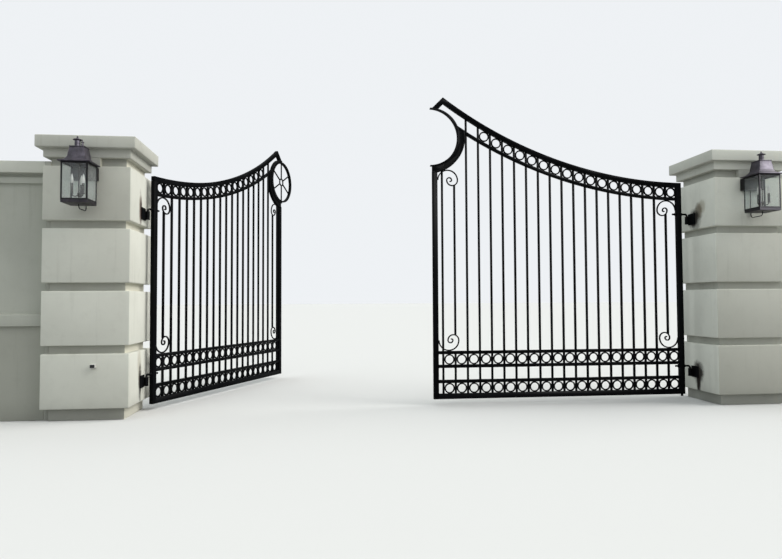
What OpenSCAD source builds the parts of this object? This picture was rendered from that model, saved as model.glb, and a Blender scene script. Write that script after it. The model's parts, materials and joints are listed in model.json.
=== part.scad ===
/* [Opening] */
// Clear width of the drive between the two piers
opening_w = 5340; // [4200:10:6400]
// Distance from the front of the piers back to the line of the closed gate
gate_line = 412; // [300:4:480]

/* [Swing] */
// How far the left leaf stands open, in degrees
left_open = 66.6; // [0:0.1:90]
// How far the right leaf stands open, in degrees
right_open = 0; // [0:1:90]

/* [Leaf frame] */
// Gap between the drive and the underside of a leaf
leaf_lift = 57; // [30:1:90]
// Width of the hinge and latch stiles
stile_w = 50; // [40:1:70]
// Depth of the stiles and of the main rails, front to back
frame_t = 38; // [34:1:56]
// Height of the bottom rail
bottom_rail_h = 50; // [36:1:70]
// Depth of the swept top rail, square to its curve
top_rail_h = 47; // [36:1:60]
// Height of the punched rails that the pickets pass through
mid_rail_h = 30; // [24:1:40]
// Thickness of the punched rails, front to back
mid_rail_t = 28; // [24:1:34]
// Height of the leaf's top above the drive, at its hinge stile
hinge_side_h = 2181; // [2000:1:2300]
// Radius of the sweep along the upper edge of the top rail
sweep_r = 4195; // [3900:1:4700]
// How far the sweep's lowest point lies behind the hinge stile's outer face
sweep_back = 30; // [0:1:60]
// Distance from the middle of the drive to the tip of the top rail
tip_in = 134; // [110:1:170]
// Slope of the short beak that comes down from the tip, in degrees
beak_slope = 45; // [35:1:52]
// Gap between the two latch stiles with both leaves closed
stile_gap = 50; // [30:1:60]

/* [Pickets and rings] */
// Side of the square pickets
picket = 19; // [12:1:22]
// Outer diameter of the rings
ring_d = 101; // [90:1:110]
// Side of the square bar that the rings are bent from
ring_bar = 13; // [8:1:18]
// Height of the plain band between the two lower ring rows
plain_band_h = 115; // [60:1:140]
// Least gap left between the last picket and the latch stile
least_gap = 20; // [12:1:40]
// Side of the square bar of the corner scrolls
scroll_bar = 12; // [8:1:16]
// Outer diameters of a scroll's half turns, from its tail to its eye
scroll_turns = [206, 118, 60, 36];
// How far the last turn of a scroll goes round, in degrees
scroll_eye_turn = 130; // [90:1:170]

/* [Medallion] */
// Outer radius of the round medallion
medallion_r = 268; // [240:1:280]
// Height of the medallion's middle above the drive
medallion_z = 2594; // [2560:1:2620]
// Width of the medallion's rim, from outside to inside
medallion_rim = 20; // [14:1:30]
// Depth of the medallion, front to back
medallion_t = 34; // [24:1:38]
// Number of spokes in the medallion
spokes = 6; // [4:1:8]
// Running clearance round the medallion where it enters the other leaf
medallion_gap = 8; // [6:1:14]
// Outer radius of the crescents that hold and receive it
crescent_r = 352; // [330:1:352]
// Width of a crescent's inner band at its horns and at its middle
crescent_band = [10, 26];
// Width of a crescent's raised outer edge
crescent_edge = 14; // [10:1:20]
// Thickness of the plate between a crescent's edges
crescent_web_t = 24; // [12:1:34]
// Gap between the two crescents' ends with both leaves closed
horn_gap = 16; // [12:1:24]

/* [Hinges] */
// Distance from the pier's face to the hinge pins
pin_from_pier = 30; // [29:1:50]
// Distance from the hinge pins to the hinge stile
stile_from_pin = 66; // [54:1:80]
// Diameter of the bent hinge bolts
bolt_d = 19; // [16:1:22]
// Radius of the bend in a hinge bolt, along its middle
bolt_bend = 20; // [16:1:24]
// Length of bolt that stands past the inner nut
bolt_tail = 26; // [16:1:40]
// Width across the nuts, over their corners
nut_d = 32; // [30:1:36]
// Thickness of the nuts
nut_h = 14; // [10:1:18]
// Outer diameter of the hinge barrels
barrel_d = 38; // [32:1:44]
// Length of the hinge barrels
barrel_h = 78; // [70:1:100]
// Radial running clearance of a pin in its barrel
pin_play = 0.08; // [0.05:0.01:0.1]
// Height of the lower barrels' middle above the drive
lower_hinge_z = 273; // [220:1:274]
// Distance from the leaf's top at its hinge stile down to the upper barrels' middle
upper_hinge_drop = 380; // [330:1:400]
// Side of the square hinge plates on the piers
hinge_plate = 112; // [90:1:130]
// Thickness of the hinge plates
hinge_plate_t = 9; // [6:1:10]
// How far the hinge plates' middle lies in front of the pins
hinge_plate_front = 42; // [20:1:44]
// Thickness of the web between a plate and its barrel
hinge_web = 24; // [10:1:30]
// How far the hinge plates' middle lies above the barrels' middle
hinge_plate_up = 8; // [0:1:14]
// Diameter and height of the stub under the right hinge stile
stub = [24, 22];

/* [Piers] */
// Width of the piers
pier_w = 720; // [640:1:820]
// Depth of the piers, front to back
pier_d = 640; // [620:1:760]
// Number of courses in a pier
courses = 4; // [4:1:4]
// Height of one course
course_h = 464; // [460:1:470]
// Height of the sunk joints between the courses
joint_h = 69; // [50:1:74]
// Depth of the sunk joints, base and neck
joint_in = 50; // [30:1:60]
// Height of the sunk base below the lowest course
base_h = 101; // [80:1:110]
// Height of the sunk neck below the cap
neck_h = 74; // [60:1:90]
// Height of the cap's lower band
fascia_h = 76; // [60:1:90]
// Height of the cap's crown
crown_h = 104; // [80:1:120]
// Overhang of the crown past the courses
crown_over = 50; // [30:1:60]
// Rise of the crown's sloped top
crown_slope = 18; // [8:1:30]
// Chamfer on the masonry edges
chamfer = 6; // [2:1:12]
// Width of the pad in the neck behind each lantern
pad_w = 216; // [180:1:300]

/* [Garden wall] */
// Length of garden wall kept beside each pier
wing_l = 1200; // [600:10:2000]
// Thickness of the garden wall
wing_t = 240; // [200:1:300]
// How far the garden wall's face stands back from the piers' front
wing_back = 100; // [60:1:200]
// Height of the garden wall's thicker foot
foot_h = 800; // [700:1:840]
// How far the foot stands out past the wall
foot_out = 14; // [6:1:30]
// Height of the ledge on the foot
ledge_h = 104; // [80:1:130]
// How far the ledge stands out past the wall
ledge_out = 46; // [30:1:60]
// Height of the garden wall to the underside of its coping
coping_z = 2108; // [2060:1:2130]
// Height of the coping
coping_h = 100; // [80:1:108]
// How far the coping stands out past the wall
coping_out = 62; // [40:1:80]
// Height of the band under the coping
band_h = 54; // [40:1:80]
// Distance from the coping down to the band
band_drop = 32; // [20:1:50]
// How far the band stands out past the wall
band_out = 24; // [10:1:30]

/* [Lanterns] */
// Width and depth of the glazed body
cage_w = 210; // [190:1:224]
// Height of the glazed body
cage_h = 312; // [280:1:330]
// Side of the corner posts and of the glazing rails
post = 9; // [8:1:16]
// Height of the lantern's tray
tray_h = 22; // [16:1:40]
// Height of the tray's underside above the drive
lantern_z = 1812; // [1790:1:1830]
// Gap between the lantern's body and the pier
wall_gap = 60; // [40:1:70]
// How far the lanterns stand off their pier's middle, away from the drive
lantern_side = 2; // [0:1:20]
// Width of the mounting box
box_w = 200; // [160:1:204]
// Height of the mounting box
box_h = 112; // [80:1:130]
// Diameter of the hook under the tray
hook_d = 8; // [6:1:12]
// Radius of the hook's bends, along its middle
hook_bend = 28; // [16:1:34]
// How far the middle of the hook hangs below the tray
hook_drop = 36; // [30:1:60]
// Distance from the pier to the middle of the hook's upright
hook_from_pier = 6; // [6:1:12]
// Width of the hood at its foot, where it flares and at its top
hood_w = [252, 134, 112];
// Height of the hood's foot edge, where it flares and at its top
hood_z = [8, 70, 132];
// Radius of the hood's flare
flare_r = 62; // [61:1:63]
// How far the middle of the flare lies out past the hood's foot
flare_out = 2; // [2:0.5:3]
// Overhang and thickness of the hood's lid
lid = [4, 7];
// Radius of the main vent
vent_r = 22; // [14:1:26]
// Height of the main vent with its cap and knob
vent_h = 88; // [60:1:100]
// Where the main vent stands, to the right of the hood's middle and behind it
vent_at = [-10, -15];
// Radius of the slim vent
slim_vent_r = 8; // [6:1:12]
// Height of the slim vent with its cap
slim_vent_h = 62; // [40:1:70]
// Where the slim vent stands, to the right of the hood's middle and behind it
slim_vent_at = [16, 22];
// Thickness of the glass
glass_t = 4; // [3:0.5:5]
// Radius on which the three candles stand
candle_ring = 52; // [44:1:64]
// Radius and height of a candle's sleeve
sleeve = [10, 84];
// Radius and height of a candle's lamp
lamp = [13, 80];
// Height of the candle sleeves' foot above the tray
sleeve_z = 62; // [54:1:80]
// Diameter of the candle arms
arm_d = 8; // [6:1:10]
// Radius and thickness of the rose under the hood that the candles hang from
rose = [30, 7];
// Radius of the stem that hangs from the rose
stem_r = 5; // [4:1:8]

/* [Sensor] */
// Width, depth and height of the sensor's housing
sensor_size = [44, 34, 34];
// Distance from the left pier's middle to the sensor's, towards the drive
sensor_side = 73; // [0:1:200]

/* [Hidden] */
// Gap left where one welded or seated piece meets another
seat = 0.3;
// How far two joined shapes run into each other
lap = 2;
pin_x = opening_w / 2 - pin_from_pier;
leaf_w = pin_x - stile_from_pin - stile_gap / 2;
inner_x = stile_from_pin + stile_w;
upper_hinge_z = hinge_side_h - upper_hinge_drop;
latch_x = stile_from_pin + leaf_w - stile_w;
ring_bay = ring_d + 2 * seat;
pitch = ring_bay + picket;
pickets = floor((latch_x - inner_x - least_gap) / pitch);
// Rails, from the bottom up: the underside of each punched rail
low_z = leaf_lift + bottom_rail_h;
rail_2_z = low_z + ring_bay;
rail_3_z = rail_2_z + mid_rail_h + plain_band_h;
rail_4_z = rail_3_z + mid_rail_h + ring_bay;
field_z = rail_4_z + mid_rail_h;
// The sweep: one centre carries the top rail, the ring row and the second rail
sweep_c = [stile_from_pin - sweep_back, hinge_side_h + sweep_r];
top_low_r = sweep_r + top_rail_h;
second_up_r = top_low_r + ring_bay;
second_low_r = second_up_r + mid_rail_h;
tip_turn = asin((pin_x - tip_in - sweep_c[0]) / sweep_r);
tip = sweep_c + sweep_r * [sin(tip_turn), -cos(tip_turn)];
reach = 1.3 * (second_low_r + ring_d);
// The medallion stands on the meeting line of the two leaves
hub = [pin_x, medallion_z];
receiver_r = medallion_r + medallion_gap;
// Outer circle of a crescent's inner band, which lies a little nearer the hinges
horn_c = hub - [crescent_band[1] - crescent_band[0], 0];
horn_r = receiver_r + crescent_band[0];
scroll_r = scroll_turns[0] / 2;
hinge_scroll_x = inner_x + seat + scroll_r;
latch_scroll_x = latch_x - seat - scroll_r;
bottom_scroll_z = field_z + seat + scroll_r;
hinge_scroll_z = sweep_c[1] - sqrt(pow(second_low_r + seat + scroll_r, 2)
    - pow(hinge_scroll_x - sweep_c[0], 2));
latch_scroll_z = hub[1] - sqrt(pow(crescent_r + seat + scroll_r, 2)
    - pow(hub[0] - latch_scroll_x, 2));
bolt_z = [for (z = [lower_hinge_z, upper_hinge_z]) z + barrel_h / 2 + bolt_bend + 3];
pier_x = opening_w / 2 + pier_w / 2;
pier_y = pier_d / 2 - gate_line;
front_y = -gate_line;
neck_z = base_h + courses * course_h + (courses - 1) * joint_h;
cap_z = neck_z + neck_h;
cage_y = front_y - wall_gap - cage_w / 2;
cage_z = lantern_z + tray_h;
eave_z = cage_z + cage_h;
curve_fn = 64;
sweep_fn = 720;

// Where the centre of picket i stands, counted from the hinge stile
function picket_x(i) = inner_x + (i + 1) * pitch - picket / 2;

// Where the centre of ring i stands, counted from the hinge stile
function ring_x(i) = inner_x + i * pitch + ring_bay / 2;

// Height of a circle round the sweep's centre, above the drive, at x
function sweep_z(r, x) = sweep_c[1] - sqrt(r * r - pow(x - sweep_c[0], 2));

// Flat work drawn face on, given its thickness front to back
module upright(t) rotate([90, 0, 0]) linear_extrude(t, center = true) children();

module disc(c, r, fn = curve_fn) translate(c) circle(r, $fn = fn);

module band(c, r_in, r_out, fn = curve_fn) difference() {
    disc(c, r_out, fn);
    disc(c, r_in, fn);
}

// A rectangle from one corner to the opposite one
module area(a, b) translate(a) square(b - a);

// Everything inside a circle round the sweep's centre, which is above a rail's edge
module above_sweep(r) disc(sweep_c, r, sweep_fn);

// A box with its twelve edges chamfered
module chamfered(size, c = chamfer) {
    module face(a, b) polygon([[c, 0], [a - c, 0], [a, c], [a, b - c],
        [a - c, b], [c, b], [0, b - c], [0, c]]);
    intersection() {
        linear_extrude(size[2]) face(size[0], size[1]);
        translate([0, size[1], 0]) rotate([90, 0, 0]) linear_extrude(size[1]) face(size[0], size[2]);
        rotate([90, 0, 90]) linear_extrude(size[0]) face(size[1], size[2]);
    }
}

// A four-sided taper, w wide and d deep at its foot, drawn in by dx and dy at its top
module taper(w, d, h, dx, dy) intersection() {
    translate([0, d, 0]) rotate([90, 0, 0]) linear_extrude(2 * d)
        polygon([[-w / 2, 0], [w / 2, 0], [w / 2 - dx, h], [dx - w / 2, h]]);
    translate([-w, 0, 0]) rotate([90, 0, 90]) linear_extrude(2 * w)
        polygon([[-d / 2, 0], [d / 2, 0], [d / 2 - dy, h], [dy - d / 2, h]]);
}

// The leaves are drawn once, from the hinge pin at the origin to the latch at +X
module on_leaf(side) {
    if (side < 0) translate([-pin_x, 0, 0]) rotate([0, 0, left_open]) children();
    else translate([pin_x, 0, 0]) rotate([0, 0, -right_open]) mirror([1, 0, 0]) children();
}

// The pier work is drawn once, on the left, and mirrored for the right
module on_pier(side) {
    if (side < 0) children();
    else mirror([1, 0, 0]) children();
}

module hinge_stile(with_stub = false) color("#17181a") difference() {
    union() {
        upright(frame_t) difference() {
            area([stile_from_pin, leaf_lift], [inner_x, hinge_side_h]);
            above_sweep(top_low_r + seat);
        }
        if (with_stub) translate([(stile_from_pin + inner_x) / 2, 0, leaf_lift - stub[1]])
            cylinder(h = stub[1] + lap, d = stub[0], $fn = curve_fn);
    }
    for (z = bolt_z) translate([0, 0, z]) rotate([0, 90, 0])
        cylinder(h = 2 * inner_x, r = bolt_d / 2 + seat, $fn = curve_fn);
}

module latch_stile() color("#17181a") upright(frame_t) difference() {
    area([latch_x, leaf_lift], [latch_x + stile_w, hub[1]]);
    disc(hub, crescent_r + seat, sweep_fn);
}

module bottom_rail() color("#17181a") upright(frame_t)
    area([inner_x, leaf_lift], [latch_x, low_z]);

// The holes that the pickets pass through, as upright bars
module picket_holes(z_low, z_high) for (i = [0:pickets - 1])
    translate([picket_x(i) - picket / 2 - seat, -picket / 2 - seat, z_low])
        cube([picket + 2 * seat, picket + 2 * seat, z_high - z_low]);

module mid_rails() color("#17181a") difference() {
    upright(mid_rail_t) for (z = [rail_2_z, rail_3_z, rail_4_z])
        area([inner_x, z], [latch_x, z + mid_rail_h]);
    picket_holes(low_z, field_z + lap);
}

// The swept bar and the beak are drawn too thick and cut along their upper edges together
module top_rail() color("#17181a") upright(frame_t) difference() {
    intersection() {
        union() {
            intersection() {
                band(sweep_c, sweep_r - top_rail_h, top_low_r, sweep_fn);
                area([stile_from_pin, field_z], [hub[0], tip[1] + top_rail_h]);
            }
            translate(tip) rotate(-beak_slope) translate([-top_rail_h, -top_rail_h])
                square([norm(tip - hub) - medallion_r / 2 + top_rail_h, 2 * top_rail_h]);
        }
        translate(tip) rotate(-beak_slope) translate([-reach, -reach]) square([2 * reach, reach]);
    }
    above_sweep(sweep_r);
    disc(horn_c, horn_r + seat, sweep_fn);
}

module second_rail() color("#17181a") difference() {
    upright(mid_rail_t) difference() {
        intersection() {
            band(sweep_c, second_up_r, second_low_r, sweep_fn);
            area([inner_x, field_z], [hub[0] - receiver_r, hub[1] + crescent_r]);
        }
        disc(hub, crescent_r + seat, sweep_fn);
    }
    picket_holes(field_z, hub[1] + crescent_r);
}

// Drawn face on: every picket, cut where it meets the sweep, the crescent and the scrolls
module picket_outlines() {
    top = hub[1] + crescent_r;
    module bar(i, z_low, z_high) area([picket_x(i) - picket / 2, z_low], [picket_x(i) + picket / 2, z_high]);
    difference() {
        union() {
            for (i = [1:pickets - 3]) bar(i, low_z, top);
            bar(pickets - 1, low_z, hub[1]);
        }
        above_sweep(top_low_r + seat);
        disc(hub, crescent_r + seat, sweep_fn);
    }
    // The second and the last pickets are broken by the scrolls
    for (i = [0, pickets - 2]) bar(i, low_z, field_z);
    difference() {
        bar(0, bottom_scroll_z, hinge_scroll_z);
        scroll_turn_discs(hinge_scroll_x, 1, bottom_scroll_z, hinge_scroll_z);
    }
    difference() {
        bar(pickets - 2, bottom_scroll_z, latch_scroll_z);
        scroll_turn_discs(latch_scroll_x, -1, bottom_scroll_z, latch_scroll_z);
    }
    intersection() {
        difference() {
            bar(0, field_z, top);
            above_sweep(top_low_r + seat);
        }
        above_sweep(second_low_r);
    }
}

// The second turns of an upper and a lower scroll, which the pickets end on
module scroll_turn_discs(x, way, z_low, z_high) for (z = [z_low, z_high])
    disc([x + way * (scroll_turns[0] - scroll_turns[1]) / 2, z], scroll_turns[1] / 2 + seat);

module leaf_pickets() color("#17181a") upright(picket) picket_outlines();

module rings_at(points) color("#17181a") upright(ring_bar) for (p = points)
    band(p, ring_d / 2 - ring_bar, ring_d / 2);

module ring_bands() rings_at([for (z = [low_z, rail_3_z + mid_rail_h], i = [0:pickets - 1])
    [ring_x(i), z + ring_bay / 2]]);

module top_rings() rings_at([for (i = [0:pickets - 4])
    [ring_x(i), sweep_z((top_low_r + second_up_r) / 2, ring_x(i))]]);

// A scroll of four tangent half turns. Its tail stands at x = 0 and it runs down and to +X
module scroll_outline() {
    tail = scroll_bar / 2;
    r = [for (d = scroll_turns) (d - scroll_bar) / 2];
    c = [tail + r[0], tail + 2 * r[0] - r[1], tail + 2 * r[0] - 2 * r[1] + r[2],
        tail + 2 * r[0] - 2 * r[1] + 2 * r[2] - r[3]];
    wide = scroll_turns[0];
    for (k = [0:2]) intersection() {
        band([c[k], 0], r[k] - scroll_bar / 2, r[k] + scroll_bar / 2);
        if (k % 2 == 0) area([-wide, -wide], [2 * wide, 0]);
        else area([-wide, 0], [2 * wide, wide]);
    }
    intersection() {
        band([c[3], 0], r[3] - scroll_bar / 2, r[3] + scroll_bar / 2);
        translate([c[3], 0]) polygon([[0, 0], [wide, 0], [wide, wide],
            [0, wide], wide * [cos(scroll_eye_turn), sin(scroll_eye_turn)]]);
    }
}

module scrolls() color("#17181a") upright(scroll_bar) difference() {
    union() {
        translate([inner_x + seat, bottom_scroll_z]) scroll_outline();
        translate([inner_x + seat, hinge_scroll_z]) mirror([0, 1]) scroll_outline();
        translate([latch_x - seat, bottom_scroll_z]) mirror([1, 0]) scroll_outline();
        translate([latch_x - seat, latch_scroll_z]) rotate(180) scroll_outline();
    }
    area([picket_x(pickets - 1) - picket / 2 - seat, field_z],
        [picket_x(pickets - 1) + picket / 2 + seat, hub[1]]);
}

// The part of flat work round the medallion that lies below the second rail's line
module below_second_rail() difference() {
    intersection() {
        children();
        area([inner_x, field_z], [hub[0] - stile_gap / 2, hub[1] + receiver_r / 2]);
    }
    above_sweep(second_up_r);
}

// A crescent: an inner band round the whole half circle, and below the second rail's
// line a plate with a raised outer edge
module crescent(r_in) color("#17181a") {
    upright(frame_t) intersection() {
        difference() {
            disc(horn_c, horn_r, sweep_fn);
            disc(hub, r_in, sweep_fn);
        }
        area([inner_x, field_z], [hub[0] - horn_gap / 2, hub[1] + crescent_r]);
    }
    upright(crescent_web_t) below_second_rail() band(hub, receiver_r + lap, crescent_r - lap, sweep_fn);
    upright(frame_t) below_second_rail() band(hub, crescent_r - crescent_edge, crescent_r, sweep_fn);
    upright(frame_t) intersection() {
        below_second_rail() band(hub, receiver_r + lap, crescent_r - lap, sweep_fn);
        above_sweep(second_up_r + crescent_edge);
    }
}

// The medallion: a rim, a ring like those of the leaf, and plain spokes between them
module medallion() color("#17181a") {
    rim_in = medallion_r - medallion_rim;
    upright(medallion_t) band(hub, rim_in, medallion_r, sweep_fn);
    upright(ring_bar) {
        band(hub, ring_d / 2 - ring_bar, ring_d / 2);
        for (a = [0:360 / spokes:359]) translate(hub) rotate(a + 90)
            area([ring_d / 2 - lap, -ring_bar / 2], [rim_in + lap, ring_bar / 2]);
    }
}

// The bent bolts: a pin down into the barrel, a bend, and a rod through the stile
module hinge_bolts() color("#17181a") for (z = bolt_z) translate([0, 0, z]) {
    translate([0, 0, -bolt_bend - barrel_h - 3]) cylinder(h = barrel_h + 3, d = bolt_d, $fn = curve_fn);
    translate([bolt_bend, 0, -bolt_bend]) rotate([90, 0, 180]) rotate_extrude(angle = 90, $fn = curve_fn)
        translate([bolt_bend, 0]) circle(d = bolt_d, $fn = curve_fn);
    translate([bolt_bend, 0, 0]) rotate([0, 90, 0])
        cylinder(h = inner_x + nut_h + bolt_tail - bolt_bend, d = bolt_d, $fn = curve_fn);
    for (x = [stile_from_pin - nut_h - seat, inner_x + seat]) translate([x, 0, 0]) rotate([0, 90, 0])
        cylinder(h = nut_h, d = nut_d, $fn = 6);
}

// Plate, web and barrel on the pier, under each bent bolt
module hinge_brackets() color("#1d1b1a") for (z = [lower_hinge_z, upper_hinge_z])
    translate([-pin_x, 0, z]) difference() {
        union() {
            translate([-pin_from_pier, -hinge_plate_front - hinge_plate / 2, hinge_plate_up - hinge_plate / 2])
                cube([hinge_plate_t, hinge_plate, hinge_plate]);
            translate([-pin_from_pier, -hinge_web / 2, -barrel_h / 2])
                cube([pin_from_pier, hinge_web, barrel_h]);
            translate([0, 0, -barrel_h / 2]) cylinder(h = barrel_h, d = barrel_d, $fn = curve_fn);
        }
        translate([0, 0, -barrel_h]) cylinder(h = 2 * barrel_h, r = bolt_d / 2 + pin_play, $fn = curve_fn);
    }

module pier() color("#d9d6c6") translate([-pier_x, pier_y, 0]) {
    translate([joint_in - pier_w / 2, joint_in - pier_d / 2, 0])
        cube([pier_w - 2 * joint_in, pier_d - 2 * joint_in, cap_z]);
    for (i = [0:courses - 1]) translate([-pier_w / 2, -pier_d / 2, base_h + i * (course_h + joint_h)])
        chamfered([pier_w, pier_d, course_h]);
    translate([-pad_w / 2, -pier_d / 2, neck_z - lap - chamfer])
        cube([pad_w, joint_in + lap, neck_h + lap + chamfer]);
    translate([-pier_w / 2, -pier_y, 0]) wall_run(joint_in + lap);
}

module cap() color("#d9d6c6") translate([-pier_x, pier_y, cap_z]) {
    crown_w = pier_w + 2 * crown_over;
    crown_d = pier_d + 2 * crown_over;
    translate([-pier_w / 2, -pier_d / 2, 0]) cube([pier_w, pier_d, fascia_h + lap]);
    translate([-crown_w / 2, -crown_d / 2, fascia_h]) chamfered([crown_w, crown_d, crown_h]);
    translate([0, 0, fascia_h + crown_h]) taper(crown_w - 2 * chamfer, crown_d - 2 * chamfer,
        crown_slope, crown_w / 3, crown_d / 3);
}

// The garden wall's section, on its front half, from the ground up
function wall_half(t) = [[t + foot_out, 0], [t + foot_out, foot_h], [t + ledge_out, foot_h],
    [t + ledge_out, foot_h + ledge_h - chamfer], [t, foot_h + ledge_h + chamfer],
    [t, coping_z - band_drop - band_h], [t + band_out, coping_z - band_drop - band_h],
    [t + band_out, coping_z - band_drop], [t, coping_z - band_drop], [t, coping_z],
    [t + coping_out, coping_z], [t + coping_out, coping_z + coping_h - chamfer],
    [t + coping_out - chamfer, coping_z + coping_h]];

// A length of garden wall, which starts at x = 0
module wall_run(long) {
    half = wall_half(wing_t / 2);
    count = len(half);
    translate([0, front_y + wing_back + wing_t / 2, 0]) rotate([90, 0, 90]) linear_extrude(long)
        polygon(concat([for (p = half) [-p[0], p[1]]],
            [for (i = [count - 1:-1:0]) half[i]]));
}

module wall() color("#d9d6c6") translate([-opening_w / 2 - pier_w - wing_l, 0, 0]) wall_run(wing_l);

module at_lantern() translate([-pier_x - lantern_side, cage_y, 0]) children();

// A quarter bend of round bar that runs from direction +Y to +Z, turned on by some degrees
module bend(r, d, turn) rotate([90, 0, 90]) rotate(turn) rotate_extrude(angle = 90, $fn = curve_fn)
    translate([r, 0]) circle(d = d, $fn = curve_fn);

// Mounting box on the pier, the hook that comes down from it, and the tray
module lantern_base() color("#5d5048") at_lantern() {
    chamfer_tray = 3;
    hook_y = cage_w / 2 + wall_gap - hook_from_pier;
    low = lantern_z - hook_drop;
    translate([-cage_w / 2, -cage_w / 2, lantern_z]) chamfered([cage_w, cage_w, tray_h], chamfer_tray);
    translate([-box_w / 2, cage_w / 2, eave_z - box_h]) cube([box_w, wall_gap, box_h]);
    translate([0, hook_y, low + hook_bend])
        cylinder(h = eave_z - box_h + lap - low - hook_bend, d = hook_d, $fn = curve_fn);
    translate([0, hook_y - hook_bend, low + hook_bend]) bend(hook_bend, hook_d, 270);
    translate([0, hook_bend, low]) rotate([-90, 0, 0])
        cylinder(h = hook_y - 2 * hook_bend, d = hook_d, $fn = curve_fn);
    translate([0, hook_bend, low + hook_bend]) bend(hook_bend, hook_d, 180);
    translate([0, 0, low + hook_bend])
        cylinder(h = hook_drop - hook_bend + lap, d = hook_d, $fn = curve_fn);
}

// Corner posts and the glazing rails that join them
module lantern_cage() color("#5d5048") at_lantern() translate([0, 0, cage_z]) {
    for (x = [-1, 1], y = [-1, 1]) translate([x * (cage_w - post) / 2, y * (cage_w - post) / 2, 0])
        translate([-post / 2, -post / 2, 0]) cube([post, post, cage_h]);
    for (z = [0, cage_h - post]) translate([0, 0, z]) linear_extrude(post) difference() {
        square(cage_w, center = true);
        square(cage_w - 2 * post, center = true);
    }
}

module lantern_glass() color([0.8, 0.86, 0.88, 0.35]) at_lantern() translate([0, 0, cage_z + post])
    for (a = [0, 90, 180, 270]) rotate([0, 0, a])
        translate([post - cage_w / 2 + seat, (post - glass_t - cage_w) / 2, seat])
            cube([cage_w - 2 * post - 2 * seat, glass_t, cage_h - 2 * post - 2 * seat]);

// One side of the hood seen face on: an upright edge, a hollow flare and a steep upper part
module hood_side() {
    half = hood_w / 2;
    difference() {
        polygon([[-half[0], 0], [half[0], 0], [half[0], hood_z[1]], [half[1], hood_z[1]],
            [half[2], hood_z[2]], [-half[2], hood_z[2]], [-half[1], hood_z[1]], [-half[0], hood_z[1]]]);
        for (x = [-1, 1]) disc([x * (half[0] + flare_out),
            hood_z[0] + sqrt(flare_r * flare_r - flare_out * flare_out)], flare_r);
    }
}

module lantern_hood(side) color("#5d5048") at_lantern() translate([0, 0, eave_z]) {
    wide = hood_w[2] + 2 * lid[0];
    intersection() {
        rotate([90, 0, 0]) linear_extrude(2 * hood_w[0], center = true) hood_side();
        rotate([90, 0, 90]) linear_extrude(2 * hood_w[0], center = true) hood_side();
    }
    translate([-wide / 2, -wide / 2, hood_z[2]]) cube([wide, wide, lid[1]]);
    vent([-side * vent_at[0], vent_at[1]], vent_r, vent_h);
    vent([-side * slim_vent_at[0], slim_vent_at[1]], slim_vent_r, slim_vent_h);
}

// A round vent with a brimmed conical cap and a small knob
module vent(at, r, h) translate([at[0], at[1], hood_z[2] + lid[1] - lap]) rotate_extrude($fn = curve_fn)
    polygon([[0, 0], [r, 0], [r, h * 0.62], [r * 1.65, h * 0.64], [r * 1.65, h * 0.69],
        [r * 0.3, h * 0.84], [r * 0.3, h * 0.94], [r * 0.15, h], [0, h]]);

// Three candles on curved arms from a hub that hangs under the hood
module lantern_burner() color("#8a6f4a") at_lantern() translate([0, 0, cage_z]) {
    hub_r = 12;
    start = 7;
    arm_bend = (candle_ring - start) / 2;
    top = cage_h - seat;
    rotate_extrude($fn = curve_fn) polygon([[0, sleeve_z - 34], [3, sleeve_z - 34], [6, sleeve_z - 24],
        [hub_r, sleeve_z - 20], [hub_r, sleeve_z + 6], [stem_r, sleeve_z + 12], [stem_r, top - rose[1] - 3],
        [rose[0] * 0.7, top - rose[1]], [rose[0], top - rose[1] / 2], [rose[0], top], [0, top]]);
    for (a = [-30, 90, 210]) rotate([0, 0, a]) {
        translate([start + arm_bend, 0, sleeve_z]) rotate([-90, 0, 0]) rotate_extrude(angle = 180, $fn = 24)
            translate([arm_bend, 0]) circle(d = arm_d, $fn = 24);
        translate([candle_ring, 0, sleeve_z - lap]) rotate_extrude($fn = 24)
            polygon([[0, 0], [sleeve[0], 0], [sleeve[0], sleeve[1]], [lamp[0] * 0.6, sleeve[1]],
                [lamp[0], sleeve[1] + lamp[1] * 0.33], [lamp[0] * 0.7, sleeve[1] + lamp[1] * 0.66],
                [lamp[0] * 0.15, sleeve[1] + lamp[1]], [0, sleeve[1] + lamp[1]]]);
    }
}

module sensor() color("#b4b4ae")
    translate([sensor_side - pier_x - sensor_size[0] / 2, front_y - sensor_size[1],
        base_h + course_h * 0.78 - sensor_size[2] / 2]) chamfered(sensor_size, 3);

on_pier(-1) pier();  // left_pier
on_pier(-1) cap();  // left_cap
on_pier(-1) wall();  // left_wall
on_pier(-1) hinge_brackets();  // left_hinge_brackets
on_pier(-1) lantern_base();  // left_lantern_base
on_pier(-1) lantern_cage();  // left_lantern_cage
on_pier(-1) lantern_glass();  // left_lantern_glass
on_pier(-1) lantern_hood(-1);  // left_lantern_hood
on_pier(-1) lantern_burner();  // left_lantern_burner
on_pier(-1) sensor();  // left_sensor
on_pier(1) pier();  // right_pier
on_pier(1) cap();  // right_cap
on_pier(1) wall();  // right_wall
on_pier(1) hinge_brackets();  // right_hinge_brackets
on_pier(1) lantern_base();  // right_lantern_base
on_pier(1) lantern_cage();  // right_lantern_cage
on_pier(1) lantern_glass();  // right_lantern_glass
on_pier(1) lantern_hood(1);  // right_lantern_hood
on_pier(1) lantern_burner();  // right_lantern_burner
on_leaf(-1) hinge_stile();  // left_hinge_stile
on_leaf(-1) latch_stile();  // left_latch_stile
on_leaf(-1) bottom_rail();  // left_bottom_rail
on_leaf(-1) mid_rails();  // left_mid_rails
on_leaf(-1) top_rail();  // left_top_rail
on_leaf(-1) second_rail();  // left_second_rail
on_leaf(-1) leaf_pickets();  // left_pickets
on_leaf(-1) ring_bands();  // left_ring_bands
on_leaf(-1) top_rings();  // left_top_rings
on_leaf(-1) scrolls();  // left_scrolls
on_leaf(-1) crescent(medallion_r + seat);  // left_crescent
on_leaf(-1) hinge_bolts();  // left_hinge_bolts
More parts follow.
